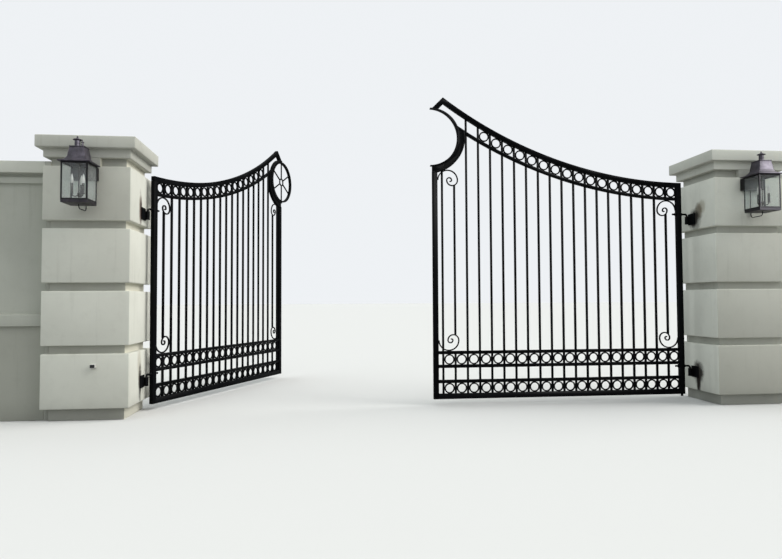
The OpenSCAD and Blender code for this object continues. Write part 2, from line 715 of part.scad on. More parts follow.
on_leaf(-1) medallion();  // left_medallion
on_leaf(1) hinge_stile(true);  // right_hinge_stile
on_leaf(1) latch_stile();  // right_latch_stile
on_leaf(1) bottom_rail();  // right_bottom_rail
on_leaf(1) mid_rails();  // right_mid_rails
on_leaf(1) top_rail();  // right_top_rail
on_leaf(1) second_rail();  // right_second_rail
on_leaf(1) leaf_pickets();  // right_pickets
on_leaf(1) ring_bands();  // right_ring_bands
on_leaf(1) top_rings();  // right_top_rings
on_leaf(1) scrolls();  // right_scrolls
on_leaf(1) crescent(receiver_r);  // right_crescent
on_leaf(1) hinge_bolts();  // right_hinge_bolts
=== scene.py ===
import json
import math

import bpy
from mathutils import Matrix, Vector


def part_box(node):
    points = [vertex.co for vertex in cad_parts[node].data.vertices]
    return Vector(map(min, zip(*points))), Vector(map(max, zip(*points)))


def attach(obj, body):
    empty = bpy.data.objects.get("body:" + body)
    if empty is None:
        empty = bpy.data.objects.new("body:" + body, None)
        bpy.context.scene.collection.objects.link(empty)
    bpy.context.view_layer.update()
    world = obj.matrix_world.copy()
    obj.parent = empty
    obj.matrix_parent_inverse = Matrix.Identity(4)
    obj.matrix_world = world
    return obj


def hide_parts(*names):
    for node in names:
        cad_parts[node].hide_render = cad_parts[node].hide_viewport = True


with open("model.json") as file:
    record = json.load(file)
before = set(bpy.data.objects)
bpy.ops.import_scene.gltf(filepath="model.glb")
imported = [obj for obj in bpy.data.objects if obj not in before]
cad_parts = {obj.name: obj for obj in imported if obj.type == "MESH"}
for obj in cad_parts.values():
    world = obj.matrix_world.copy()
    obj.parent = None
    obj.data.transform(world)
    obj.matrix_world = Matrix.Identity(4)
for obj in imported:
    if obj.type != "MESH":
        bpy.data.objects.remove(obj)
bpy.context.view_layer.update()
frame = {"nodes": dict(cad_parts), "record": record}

bl_info = {
    "name": "Driveway Gate Dressing",
    "version": (1, 0, 0),
    "blender": (4, 5, 0),
    "location": "View3D > Sidebar > Gate",
    "description": "Dresses a two-leaf wrought iron driveway gate, its piers, walls and lanterns",
    "category": "Object",
}

SIDES = ("left", "right")

# Where each leaf's pins stand, and the direction in which the leaf points at rest
HINGES = {joint["child"]: joint for joint in frame["record"]["behaviour"]["joints"]}
PIN_X = {side: HINGES[f"{side}_leaf"]["pos_m"][0] for side in SIDES}
LEFT_TURN = math.radians(-HINGES["left_leaf"]["range_deg"][0])
RIGHT_TURN = math.pi


# Sizes and colours that a user would change

def length(name, default, description):
    return bpy.props.FloatProperty(name=name, description=description, default=default, unit="LENGTH")


def colour(name, default, description):
    return bpy.props.FloatVectorProperty(
        name=name, description=description, subtype="COLOR", default=default, min=0.0, max=1.0)


class PierSizes(bpy.types.PropertyGroup):
    base_height: length("Base", 0.101, "Height of the sunk base")
    course_height: length("Course", 0.464, "Height of one course")
    joint_height: length("Joint", 0.069, "Height of a sunk joint")
    courses: bpy.props.IntProperty(name="Courses", description="Number of courses", default=4, min=1, max=4)
    joint_depth: length("Joint depth", 0.05, "How far the joints, base and neck are sunk")
    pad_width: length("Pad", 0.216, "Width of the pad behind the lantern")
    fascia_height: length("Fascia", 0.076, "Height of the cap's lower band")
    overhang: length("Overhang", 0.05, "Overhang of the crown")
    slope_height: length("Slope", 0.018, "Rise of the crown's top")
    edge: length("Edge", 0.008, "Rounding of the courses' edges")
    core_edge: length("Core edge", 0.004, "Rounding of the sunk joints' edges")
    pad_edge: length("Pad edge", 0.003, "Rounding of the pad's edges")
    band_edge: length("Band edge", 0.006, "Rounding of the cap's lower band")
    cap_edge: length("Cap edge", 0.009, "Rounding of the crown's edges")


class WallSizes(bpy.types.PropertyGroup):
    thickness: length("Thickness", 0.24, "Thickness of the garden wall")
    set_back: length("Set back", 0.1, "How far the wall's face stands behind the pier's front")
    foot: length("Foot", 0.8, "Height of the thicker foot")
    foot_out: length("Foot overhang", 0.014, "How far the foot stands out")
    ledge: length("Ledge", 0.104, "Height of the ledge on the foot")
    ledge_out: length("Ledge overhang", 0.046, "How far the ledge stands out")
    ledge_fall: length("Ledge fall", 0.012, "Fall of the ledge's top")
    band_low: length("Band foot", 2.022, "Height of the band's lower edge")
    band_high: length("Band top", 2.076, "Height of the band's upper edge")
    band_out: length("Band overhang", 0.024, "How far the band under the coping stands out")
    coping_low: length("Coping foot", 2.108, "Height of the coping's lower edge")
    coping: length("Coping", 0.1, "Height of the coping")
    coping_out: length("Coping overhang", 0.062, "How far the coping stands out")
    edge: length("Edge", 0.004, "Rounding of the wall's edges")


class LanternSizes(bpy.types.PropertyGroup):
    cage: length("Cage", 0.21, "Width and depth of the glazed body")
    tray: length("Tray", 0.022, "Height of the tray")
    post: length("Post", 0.009, "Width of the corner posts")
    post_sheet: length("Post sheet", 0.0022, "Thickness of the corner posts' sheet")
    box_width: length("Box width", 0.2, "Width of the mounting box")
    box_height: length("Box height", 0.112, "Height of the mounting box")
    hook_rod: length("Hook rod", 0.008, "Diameter of the hook")
    hook_bend: length("Hook bend", 0.028, "Radius of the hook's bends")
    hood_foot: length("Hood foot", 0.252, "Width of the hood at its foot")
    hood_rim: length("Hood rim", 0.008, "Height of the hood's upright rim")
    hood_neck: length("Hood neck", 0.134, "Width of the hood where it flares")
    neck_height: length("Neck height", 0.07, "Height at which the flare ends")
    hood_top: length("Hood top", 0.112, "Width of the hood at its top")
    hood_height: length("Hood height", 0.132, "Height of the hood without its lid")
    lid: length("Lid", 0.007, "Thickness of the lid")
    flare: length("Flare", 0.062, "Radius of the hood's flare")
    seam: length("Seam", 0.0024, "Diameter of the soldered seams")
    vent: length("Vent", 0.022, "Radius of the main vent")
    vent_height: length("Vent height", 0.088, "Height of the main vent")
    slim_vent: length("Slim vent", 0.008, "Radius of the slim vent")
    slim_vent_height: length("Slim vent height", 0.07, "Height of the slim vent")
    candle_ring: length("Candle ring", 0.052, "Radius on which the candles stand")
    candle_foot: length("Candle foot", 0.062, "Height of the sleeves' foot above the tray")
    arm: length("Arm", 0.008, "Diameter of a candle's arm")
    sleeve: length("Sleeve", 0.084, "Height of a candle's sleeve")
    lamp: length("Lamp", 0.08, "Height of a candle's lamp")


class LeafSizes(bpy.types.PropertyGroup):
    bar_edge: length("Bar edge", 0.0013, "Rounding of the stiles, rails and pickets")
    strip_edge: length("Strip edge", 0.0009, "Rounding of the rings, scrolls, crescents and medallion")
    bar_angle: bpy.props.FloatProperty(
        name="Sharpest curve", description="Edges that turn by more than this are rounded",
        default=math.radians(40), unit="ROTATION")


class HingeSizes(bpy.types.PropertyGroup):
    plate: length("Plate", 0.112, "Side of the hinge plates")
    plate_thickness: length("Plate thickness", 0.009, "Thickness of the hinge plates")
    plate_front: length("Plate offset", 0.042, "How far the plates lie in front of the pins")
    plate_up: length("Plate height", 0.008, "How far the plates lie above the barrels' middle")
    pin_out: length("Pin", 0.03, "Distance from the pier to the pins")
    lower: length("Lower hinge", 0.273, "Height of the lower barrels' middle")
    upper: length("Upper hinge", 1.801, "Height of the upper barrels' middle")
    barrel: length("Barrel", 0.038, "Diameter of the barrels")
    barrel_height: length("Barrel height", 0.078, "Length of the barrels")
    rod: length("Rod", 0.019, "Diameter of the bent bolts")
    bend: length("Bend", 0.02, "Radius of the bend in the bolts")
    bend_rise: length("Rise", 0.003, "Straight bolt between a barrel and the bend")
    stile_near: length("Stile", 0.066, "Distance from the pins to the hinge stile")
    stile: length("Stile width", 0.05, "Width of the hinge stile")
    tail: length("Tail", 0.026, "Length of bolt past the inner nut")
    thread: length("Thread", 0.0022, "Pitch of the bolts' thread")
    nut: length("Nut", 0.0316, "Width of the nuts over their corners")
    nut_height: length("Nut height", 0.014, "Height of the nuts")
    web: length("Web", 0.024, "Thickness of the web between plate and barrel")
    bead: length("Weld bead", 0.006, "Width of the weld beads")


class Finishes(bpy.types.PropertyGroup):
    iron: colour("Iron", (0.0032, 0.0035, 0.0041), "Black paint of the leaves")
    # Dust on the iron, also standing for the painted sheen of the sky on its upper faces
    dust_and_sheen: colour("Dust", (0.07, 0.072, 0.074), "Dust that lies on the iron")
    rust: colour("Rust", (0.12, 0.035, 0.012), "Rust at the hinges")
    render_coat: colour("Render", (0.745, 0.752, 0.675), "Painted render of the piers")
    # Painted sunlight: the paler colour of the left pier's sunk joints on its drive side, where the sun falls
    painted_sun_coat: colour("Dry render", (0.8, 0.78, 0.66), "Render that rain doesn't reach")
    wall_coat: colour("Wall", (0.47, 0.485, 0.43), "Painted render of the garden wall")
    stain: colour("Stain", (0.27, 0.262, 0.215), "Weather stains on the masonry")
    copper: colour("Copper", (0.046, 0.041, 0.052), "Aged copper of the lanterns")
    pale_copper: colour("Pale copper", (0.17, 0.16, 0.175), "Where rain runs down the copper")
    warm_copper: colour("Warm copper", (0.2, 0.09, 0.045), "Where the copper shows through")


# Small helpers for node trees

def make_material(name):
    """A new material, its node tree and its shader."""
    mat = bpy.data.materials.new(name)
    mat.use_nodes = True
    return mat, mat.node_tree, mat.node_tree.nodes["Principled BSDF"]


def connect(tree, node, inputs):
    """Links a node's inputs to sockets, or sets them to plain values."""
    for key, value in inputs.items():
        if hasattr(value, "is_output"):
            tree.links.new(value, node.inputs[key])
        else:
            node.inputs[key].default_value = value


def add_node(tree, kind, inputs=None, **settings):
    """A new node with its settings and inputs."""
    made = tree.nodes.new(kind)
    for key, value in settings.items():
        setattr(made, key, value)
    connect(tree, made, inputs or {})
    return made


def place(tree):
    """Places on the gate, the same for all pieces because their origins lie at the gate's."""
    return add_node(tree, "ShaderNodeTexCoord").outputs["Object"]


def noise(tree, where, scale, detail=4.0, rough=0.55, stretch=None):
    if stretch:
        where = add_node(tree, "ShaderNodeMapping", {"Vector": where, "Scale": stretch}).outputs["Vector"]
    return add_node(tree, "ShaderNodeTexNoise", {
        "Vector": where, "Scale": scale, "Detail": detail, "Roughness": rough}).outputs["Fac"]


def ramp(tree, value, low, high, to_low=0.0, to_high=1.0):
    """A soft step from to_low to to_high while value goes from low to high."""
    return add_node(tree, "ShaderNodeMapRange", {
        "Value": value, "From Min": low, "From Max": high, "To Min": to_low, "To Max": to_high},
        interpolation_type="SMOOTHSTEP").outputs["Result"]


def maths(tree, operation, a, b):
    return add_node(tree, "ShaderNodeMath", {0: a, 1: b}, operation=operation).outputs[0]


def times(tree, a, b):
    return maths(tree, "MULTIPLY", a, b)


def blend_colour(tree, amount, a, b):
    """Colour a turned into colour b by amount, a socket."""
    made = add_node(tree, "ShaderNodeMix", data_type="RGBA")
    sockets = {s.identifier: s for s in made.inputs}
    tree.links.new(amount, sockets["Factor_Float"])
    for key, value in (("A_Color", a), ("B_Color", b)):
        if hasattr(value, "is_output"):
            tree.links.new(value, sockets[key])
        else:
            sockets[key].default_value = (*value, 1.0)
    return next(s for s in made.outputs if s.identifier == "Result_Color")


def bump(tree, height, strength, distance, below=None):
    inputs = {"Height": height, "Strength": strength, "Distance": distance}
    if below is not None:
        inputs["Normal"] = below
    return add_node(tree, "ShaderNodeBump", inputs).outputs["Normal"]


def part_of(tree, vector, axis):
    return add_node(tree, "ShaderNodeSeparateXYZ", {0: vector}).outputs[axis]


def outlook(tree, axis):
    """How far a face looks along an axis, from -1 to 1."""
    return part_of(tree, add_node(tree, "ShaderNodeNewGeometry").outputs["Normal"], axis)


# The finishes

def iron_paint(name, rust_amount):
    """Satin black paint over forged bar, with dust and a painted sky sheen on its upper faces, and spots of
    rust.
    """
    look = bpy.context.scene.gate_finishes
    mat, tree, shader = make_material(name)
    where = place(tree)
    wide = noise(tree, where, 3.0, 3.0)
    fine = noise(tree, where, 160.0, 5.0)
    # Dust and a painted sky sheen on the upper faces
    dust_and_sheen = ramp(tree, fine, 0.35, 0.75, 0.05, 0.35)
    dust_and_sheen = times(tree, ramp(tree, outlook(tree, "Z"), 0.35, 0.95), dust_and_sheen)
    base = blend_colour(tree, ramp(tree, wide, 0.3, 0.7), look.iron, [v * 1.5 for v in look.iron])
    base = blend_colour(tree, dust_and_sheen, base, look.dust_and_sheen)
    spots = ramp(tree, noise(tree, where, 55.0, 6.0, 0.7), 0.62, 0.74)
    spots = times(tree, spots, ramp(tree, noise(tree, where, 5.0, 2.0), 0.45, 0.7))
    spots = times(tree, spots, rust_amount)
    hammered = bump(tree, noise(tree, where, 38.0, 2.0), 0.12, 0.002)
    connect(tree, shader, {
        "Base Color": blend_colour(tree, spots, base, look.rust), "Specular IOR Level": 0.03,
        "Roughness": ramp(tree, fine, 0.3, 0.7, 0.34, 0.52),
        "Normal": bump(tree, fine, 0.1, 0.0004, hammered)})
    return mat


def facing(tree, where, axis, towards):
    """Two masks, left and right of the drive, of the faces that look along an axis."""
    faces = ramp(tree, outlook(tree, axis), 0.6 * towards, 0.95 * towards)
    right = times(tree, faces, ramp(tree, part_of(tree, where, "X"), -1.0, 1.0))
    return maths(tree, "SUBTRACT", faces, right), right


def smear(tree, where, centre, reach, grain, strength):
    """A soft-edged spot round centre, broken up by grain."""
    scaled = add_node(tree, "ShaderNodeMapping", {
        "Vector": where, "Location": [-c / r for c, r in zip(centre, reach)],
        "Scale": [1 / r for r in reach]}).outputs["Vector"]
    away = add_node(tree, "ShaderNodeVectorMath", {0: scaled}, operation="LENGTH").outputs["Value"]
    ragged = maths(tree, "ADD", away, times(tree, maths(tree, "SUBTRACT", grain, 0.5), 0.9))
    return ramp(tree, ragged, 1.0, 0.4, 0.0, strength)


def render_coat(name, coat, grime=1.0):
    """Painted sand render: mottled, streaked under its ledges and dirty at the foot."""
    look = bpy.context.scene.gate_finishes
    mat, tree, shader = make_material(name)
    where = place(tree)
    cloudy = noise(tree, where, 1.7, 5.0)
    patchy = noise(tree, where, 9.0, 6.0, 0.6)
    sand = noise(tree, where, 420.0, 3.0, 0.6)
    streaks = noise(tree, where, 1.0, 5.0, 0.6, stretch=(22, 22, 1.3))
    base = blend_colour(tree, ramp(tree, cloudy, 0.3, 0.7, 0.0, 0.12 * grime), coat, look.stain)
    base = blend_colour(tree, ramp(tree, patchy, 0.5, 0.75, 0.0, 0.08 * grime), base, look.stain)
    base = blend_colour(tree, ramp(tree, streaks, 0.55, 0.8, 0.0, 0.16 * grime), base, look.stain)
    ragged = maths(tree, "ADD", part_of(tree, where, "Z"), times(tree, patchy, 0.16))
    foot = ramp(tree, ragged, 0.3, 0.06, 0.0, 0.3)
    base = blend_colour(tree, foot, base, [v * 0.5 for v in look.stain])
    ledges = ramp(tree, patchy, 0.35, 0.65, 0.15, 0.5)
    ledges = times(tree, ramp(tree, outlook(tree, "Z"), 0.5, 0.9), ledges)
    base = blend_colour(tree, ledges, base, look.stain)
    trowel = bump(tree, patchy, 0.25, 0.004)
    connect(tree, shader, {
        "Roughness": 0.86, "Specular IOR Level": 0.25, "Normal": bump(tree, sand, 0.35, 0.0009, trowel)})
    return mat, tree, shader, where, base


def pier_render(name):
    """The piers' coat, with soot and rust round the hinge plates, painted shade on the right pier's street
    side that deepens towards the foot, and painted shade on the left pier's street side, strongest on the top
    course under the cap.
    """
    look = bpy.context.scene.gate_finishes
    hinge = bpy.context.scene.gate_hinges
    pier = bpy.context.scene.gate_piers
    mat, tree, shader, where, base = render_coat(name, look.render_coat)
    grain = noise(tree, where, 13.0, 5.0, 0.65)
    run = noise(tree, where, 1.0, 4.0, 0.6, stretch=(60, 60, 6))

    left, right = facing(tree, where, "Y", -1)
    height = part_of(tree, where, "Z")
    top_course = pier.base_height + (pier.courses - 1) * (pier.course_height + pier.joint_height)
    # Painted shade: the right pier's street side darkens towards the foot
    painted_street_shade = times(tree, right, ramp(tree, height, 2.2, 0.1, 0.1, 0.54))
    # Painted shadow of the cap: the left pier's street side is darker, most on the top course
    painted_cap_shadow = ramp(tree, height, top_course - 0.02, top_course + 0.02, 0.07, 0.3)
    painted_cap_shadow = times(tree, left, painted_cap_shadow)
    base = blend_colour(tree, maths(tree, "ADD", painted_street_shade, painted_cap_shadow), base, look.stain)

    soot, brown, scorched = (0.022, 0.017, 0.014), (0.12, 0.088, 0.05), (0.03, 0.011, 0.007)
    tan, sand = (0.3, 0.23, 0.13), (0.3, 0.26, 0.17)
    marks = (
        # side, place in front of the plate, height, reach in y and z, grain, strength, colour
        (-1, 0.08, hinge.upper + 0.04, 0.06, 0.19, grain, 0.55, look.rust),
        (-1, 0.066, hinge.upper + 0.025, 0.044, 0.155, run, 1.0, scorched),
        (-1, 0.075, hinge.lower + 0.17, 0.07, 0.2, run, 0.35, tan),
        (-1, 0.048, hinge.lower, 0.06, 0.22, grain, 0.95, soot),
        (1, 0.165, hinge.upper + 0.11, 0.075, 0.085, run, 0.5, sand),
        (1, 0.11, hinge.upper + 0.07, 0.08, 0.1, grain, 0.75, brown),
        (1, 0.035, hinge.upper, 0.125, 0.13, grain, 0.97, soot),
        (1, 0.05, hinge.lower - 0.1, 0.042, 0.13, run, 1.0, soot),
        (1, 0.05, hinge.lower + 0.01, 0.115, 0.14, grain, 0.97, soot),
    )
    face_x = PIN_X["right"] + hinge.pin_out
    for side, ahead, up, wide, tall, broken, strength, tone in marks:
        centre = (side * face_x, -hinge.plate_front - ahead, up)
        mark = smear(tree, where, centre, (0.05, wide, tall), broken, strength)
        base = blend_colour(tree, mark, base, tone)
    tree.links.new(base, shader.inputs["Base Color"])
    return mat


def wall_render(name):
    """The garden wall's darker coat, paler on the coping, in part painted light that the standing-out coping
    catches, and darker on the foot.
    """
    look = bpy.context.scene.gate_finishes
    wall = bpy.context.scene.gate_walls
    mat, tree, shader, where, base = render_coat(name, look.wall_coat, 1.3)
    height = part_of(tree, where, "Z")
    # Paler coping: in part painted light for its standing-out faces
    coping = ramp(tree, height, wall.coping_low - 0.008, wall.coping_low + 0.002, 0.0, 0.5)
    base = blend_colour(tree, coping, base, look.render_coat)
    foot = ramp(tree, height, wall.foot + 0.01, wall.foot - 0.01, 0.0, 0.22)
    base = blend_colour(tree, foot, base, look.stain)
    tree.links.new(base, shader.inputs["Base Color"])
    return mat


def cap_render(name):
    """The caps' coat, greyed by rain, paler on the right cap's front."""
    look = bpy.context.scene.gate_finishes
    mat, tree, shader, where, base = render_coat(name, [v * 0.78 for v in look.render_coat], 1.6)
    _, right = facing(tree, where, "Y", -1)
    paler_front = times(tree, right, 0.8)
    tree.links.new(blend_colour(tree, paler_front, base, look.render_coat), shader.inputs["Base Color"])
    return mat


def joint_render(name):
    """The sunk joints, bases and necks: darker, partly from dirt and partly from painted shade in the
    recesses, with painted sunlight on the left pier's drive side.
    """
    look = bpy.context.scene.gate_finishes
    # Much darker than the piers' render: partly dirt, partly painted shade in the sunk recesses
    mat, tree, shader, where, base = render_coat(name, [v * 0.62 for v in look.render_coat], 1.8)
    # Painted sunlight on the drive side of the left pier's sunk joints
    left, _ = facing(tree, where, "X", 1)
    painted_sun = times(tree, left, 0.8)
    tree.links.new(blend_colour(tree, painted_sun, base, look.painted_sun_coat), shader.inputs["Base Color"])
    return mat


def aged_copper(name, tint=1.0):
    """Copper gone brown and violet grey, paler where rain runs."""
    look = bpy.context.scene.gate_finishes
    mat, tree, shader = make_material(name)
    where = place(tree)
    blotch = noise(tree, where, 22.0, 6.0, 0.62)
    runs = noise(tree, where, 1.0, 4.0, 0.6, stretch=(120, 120, 14))
    fine = noise(tree, where, 300.0, 4.0)
    copper = [v * tint for v in look.copper]
    base = blend_colour(tree, ramp(tree, blotch, 0.35, 0.7), copper, [v * 2.1 for v in copper])
    pale = [v * tint for v in look.pale_copper]
    base = blend_colour(tree, ramp(tree, runs, 0.55, 0.75, 0.0, 0.45), base, pale)
    warm = [v * tint for v in look.warm_copper]
    base = blend_colour(tree, ramp(tree, blotch, 0.68, 0.8, 0.0, 0.3), base, warm)
    dented = bump(tree, blotch, 0.12, 0.002)
    connect(tree, shader, {
        "Base Color": base, "Metallic": 0.55, "Roughness": ramp(tree, blotch, 0.3, 0.75, 0.38, 0.62),
        "Normal": bump(tree, fine, 0.12, 0.0003, dented)})
    return mat


def clear_glass(name):
    """Window glass with a faint dusty film."""
    mat, tree, shader = make_material(name)
    where = place(tree)
    film = noise(tree, where, 14.0, 5.0)
    wavy = noise(tree, where, 7.0, 2.0)
    connect(tree, shader, {
        "Base Color": (0.93, 0.96, 0.96, 1.0), "Transmission Weight": 0.96, "IOR": 1.22,
        "Roughness": ramp(tree, film, 0.35, 0.8, 0.0, 0.05), "Normal": bump(tree, wavy, 0.06, 0.002)})
    return mat


def plain_finish(name, tone, roughness, metallic=0.0):
    """A small part's finish: slightly uneven in tone, gloss and surface."""
    mat, tree, shader = make_material(name)
    where = place(tree)
    fine = noise(tree, where, 90.0, 5.0)
    connect(tree, shader, {
        "Base Color": blend_colour(tree, ramp(tree, fine, 0.3, 0.75), tone, [v * 1.45 for v in tone]),
        "Roughness": ramp(tree, fine, 0.3, 0.7, roughness - 0.07, roughness + 0.09),
        "Metallic": metallic, "Normal": bump(tree, fine, 0.15, 0.0005)})
    return mat


def lamp_glass(name):
    """The candle lamps: half-clear glass whose pale colour is a painted highlight, standing for the white
    reflections on clear lamps.
    """
    mat, tree, shader = make_material(name)
    where = place(tree)
    cloud = noise(tree, where, 60.0, 3.0)
    # Painted highlight: the pale colour stands for white reflections on clear glass
    base = blend_colour(tree, ramp(tree, cloud, 0.3, 0.7), (0.9, 0.88, 0.82), (0.98, 0.97, 0.94))
    connect(tree, shader, {"Base Color": base, "Transmission Weight": 0.45, "Roughness": 0.12})
    return mat


# What makes each finish, the material's name and what else the maker needs
FINISHES = {
    "black_iron": (iron_paint, "Black iron", 0.5),
    "hinge_iron": (iron_paint, "Hinge iron", 1.0),
    "pier_render": (pier_render, "Pier render"),
    "joint_render": (joint_render, "Joint render"),
    "cap_render": (cap_render, "Cap render"),
    "wall_render": (wall_render, "Wall render"),
    "aged_copper": (aged_copper, "Aged copper"),
    "tray_copper": (aged_copper, "Tray copper", 0.45),
    "dark_copper": (aged_copper, "Dark copper", 0.14),
    "lantern_glass": (clear_glass, "Lantern glass"),
    "candle_sleeve": (plain_finish, "Candle sleeve", (0.022, 0.018, 0.016), 0.5),
    "candle_lamp": (lamp_glass, "Candle lamp"),
    "burner_brass": (plain_finish, "Dull brass", (0.022, 0.017, 0.013), 0.45, 0.4),
    "sensor_case": (plain_finish, "Sensor case", (0.5, 0.5, 0.47), 0.5),
    "sensor_lens": (plain_finish, "Sensor lens", (0.008, 0.008, 0.009), 0.3),
}
MATERIALS = {}


def finish_named(name):
    """Each finish is made once, the first time that a piece asks for it."""
    if name not in MATERIALS:
        maker, *details = FINISHES[name]
        MATERIALS[name] = maker(*details)
    return MATERIALS[name]


# Modelling helpers: every piece starts as a primitive and is shaped in edit mode

def deselect():
    """Leaves edit mode and selects nothing."""
    if bpy.context.object and bpy.context.object.mode != "OBJECT":
        bpy.ops.object.mode_set(mode="OBJECT")
    bpy.ops.object.select_all(action="DESELECT")


def only(obj):
    """Selects one object and nothing else."""
    deselect()
    obj.select_set(True)
    bpy.context.view_layer.objects.active = obj


def settle(obj):
    """Puts the object's place into its mesh."""
    only(obj)
    bpy.ops.object.transform_apply(location=True, rotation=True, scale=True)
    return obj


def rounded(obj, width, segments=2, angle=30, flat=False):
    """Rounds the edges that turn by more than angle, in degrees. With flat, the faces between stay flat."""
    only(obj)
    mod = obj.modifiers.new("Rounding", "BEVEL")
    mod.width = width
    mod.segments = segments
    mod.limit_method = "ANGLE"
    mod.angle_limit = math.radians(angle)
    mod.harden_normals = flat
    bpy.ops.object.modifier_apply(modifier=mod.name)
    return obj


def smoothed(obj, angle=40):
    """Shades smoothly over the edges that turn by less than angle, in degrees."""
    only(obj)
    bpy.ops.object.shade_smooth_by_angle(angle=math.radians(angle))
    return obj


def block(low, high, edge=0.0, segments=2):
    """A box between two corners with rounded edges."""
    deselect()
    low, high = Vector(low), Vector(high)
    bpy.ops.mesh.primitive_cube_add(size=1, location=(low + high) / 2)
    obj = bpy.context.object
    obj.scale = high - low
    settle(obj)
    if edge:
        rounded(obj, edge, segments)
    return obj


def raised(obj, outline, y=0.0, both_ways=True):
    """Extrudes a flat face up through (half width, height), and widens it along Y or both ways."""
    only(obj)
    bpy.ops.object.mode_set(mode="EDIT")
    bpy.ops.mesh.select_mode(type="FACE")
    bpy.ops.mesh.select_all(action="SELECT")
    wide, high = outline[0]
    for next_wide, next_high in outline[1:]:
        bpy.ops.mesh.extrude_region_move(TRANSFORM_OT_translate={"value": (0, 0, next_high - high)})
        ratio = next_wide / wide
        bpy.ops.transform.resize(value=(ratio if both_ways else 1.0, ratio, 1.0),
                                 center_override=(0, y, next_high))
        wide, high = next_wide, next_high
    bpy.ops.mesh.select_all(action="SELECT")
    bpy.ops.mesh.normals_make_consistent(inside=False)
    bpy.ops.object.mode_set(mode="OBJECT")
    return obj


def stacked(outline, foot, sides=32, turn=0.0, edge=0.0, lying=False, smooth=35):
    """A stack of like shapes, given as (radius, height), that stands on foot or lies from there along X."""
    deselect()
    radius, height = outline[0]
    bpy.ops.mesh.primitive_circle_add(vertices=sides, radius=radius, fill_type="NGON",
                                      location=(0, 0, height), rotation=(0, 0, turn))
    obj = raised(settle(bpy.context.object), outline)
    if edge:
        rounded(obj, edge, 2, 35)
    if lying:
        obj.rotation_euler = (0, math.pi / 2, 0)
    obj.location = foot
    settle(obj)
    return smoothed(obj, smooth) if smooth else obj


def tower(x_low, x_high, y, outline, edge):
    """A run of masonry, given as (half thickness, height) from the ground up."""
    deselect()
    half, height = outline[0]
    bpy.ops.mesh.primitive_plane_add(size=1, location=((x_low + x_high) / 2, y, height))
    obj = bpy.context.object
    obj.scale = (x_high - x_low, 2 * half, 1)
    return rounded(raised(settle(obj), outline, y, both_ways=False), edge, 3)


def wall_outline(size):
    """The garden wall's section: half thickness and height, from the ground up."""
    wall = size.thickness / 2
    foot, ledge, band, coping = (
        wall + out for out in (size.foot_out, size.ledge_out, size.band_out, size.coping_out))
    ledge_top = size.foot + size.ledge
    fall = size.ledge_fall / 2
    return [(foot, 0.0), (foot, size.foot), (ledge, size.foot), (ledge, ledge_top - fall),
            (wall, ledge_top + fall), (wall, size.band_low), (band, size.band_low), (band, size.band_high),
            (wall, size.band_high), (wall, size.coping_low), (coping, size.coping_low),
            (coping, size.coping_low + size.coping)]


def rod(points, diameter, resolution=5):
    """A round bar along points."""
    deselect()
    data = bpy.data.curves.new("rod", "CURVE")
    data.dimensions = "3D"
    data.bevel_depth = diameter / 2
    data.bevel_resolution = resolution
    data.use_fill_caps = True
    line = data.splines.new("POLY")
    line.points.add(len(points) - 1)
    for at, spot in zip(line.points, points):
        at.co = (*spot, 1.0)
    obj = bpy.data.objects.new("rod", data)
    bpy.context.collection.objects.link(obj)
    only(obj)
    bpy.ops.object.convert(target="MESH")
    return smoothed(bpy.context.object)


def arc(centre, radius, start, end, across, up, count):
    """Points on a circle in the plane of two directions, angles in degrees."""
    made = []
    for i in range(count + 1):
        a = math.radians(start + (end - start) * i / count)
        made.append(Vector(centre) + radius * (math.cos(a) * Vector(across) + math.sin(a) * Vector(up)))
    return made


def moved(obj, shift, turn=0.0, pivot=(0, 0, 0)):
    """Turns a piece about the upright through pivot and then moves it."""
    pivot = Vector(pivot)
    spin = Matrix.Rotation(turn, 4, "Z")
    obj.matrix_world = Matrix.Translation(Vector(shift) + pivot) @ spin @ Matrix.Translation(-pivot)
    return settle(obj)


def copied(obj, shift=(0, 0, 0), turn=0.0, pivot=(0, 0, 0)):
    """A copy with a mesh of its own, turned and moved."""
    only(obj)
    bpy.ops.object.duplicate()
    return moved(bpy.context.object, shift, turn, pivot)


def around(obj, x, y, count):
    """A piece and its copies, evenly turned about the upright through x and y."""
    return [obj, *(copied(obj, turn=2 * math.pi * i / count, pivot=(x, y, 0)) for i in range(1, count))]


def right_copy(obj, node):
    """A left piece's copy for the right side, shifted as far as the right node lies from the left one."""
    return copied(obj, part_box(f"right_{node}")[0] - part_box(f"left_{node}")[0])


def mirrored(obj):
    """A left piece's mirrored copy on the right side of the drive."""
    only(obj)
    bpy.ops.object.duplicate()
    twin = bpy.context.object
    twin.scale.x = -1
    settle(twin)
    # Mirroring leaves the faces inside out
    bpy.ops.object.mode_set(mode="EDIT")
    bpy.ops.mesh.select_all(action="SELECT")
    bpy.ops.mesh.flip_normals()
    bpy.ops.object.mode_set(mode="OBJECT")
    return twin


def joined(parts):
    """One piece made of several."""
    deselect()
    for obj in parts:
        obj.select_set(True)
    bpy.context.view_layer.objects.active = parts[0]
    if len(parts) > 1:
        bpy.ops.object.join()
    return bpy.context.object


def copy_of_node(name):
    """A copy of a CAD node, with its faces joined along their edges."""
    deselect()
    node = frame["nodes"][name]
    obj = bpy.data.objects.new("copy", node.data.copy())
    bpy.context.collection.objects.link(obj)
    obj.matrix_world = node.matrix_world
    settle(obj)
    if obj.data.has_custom_normals:
        bpy.ops.mesh.customdata_custom_splitnormals_clear()
    bpy.ops.object.mode_set(mode="EDIT")
    bpy.ops.mesh.select_all(action="SELECT")
    bpy.ops.mesh.remove_doubles(threshold=0.00002)
    bpy.ops.mesh.dissolve_limited(angle_limit=math.radians(1))
    bpy.ops.object.mode_set(mode="OBJECT")
    return obj


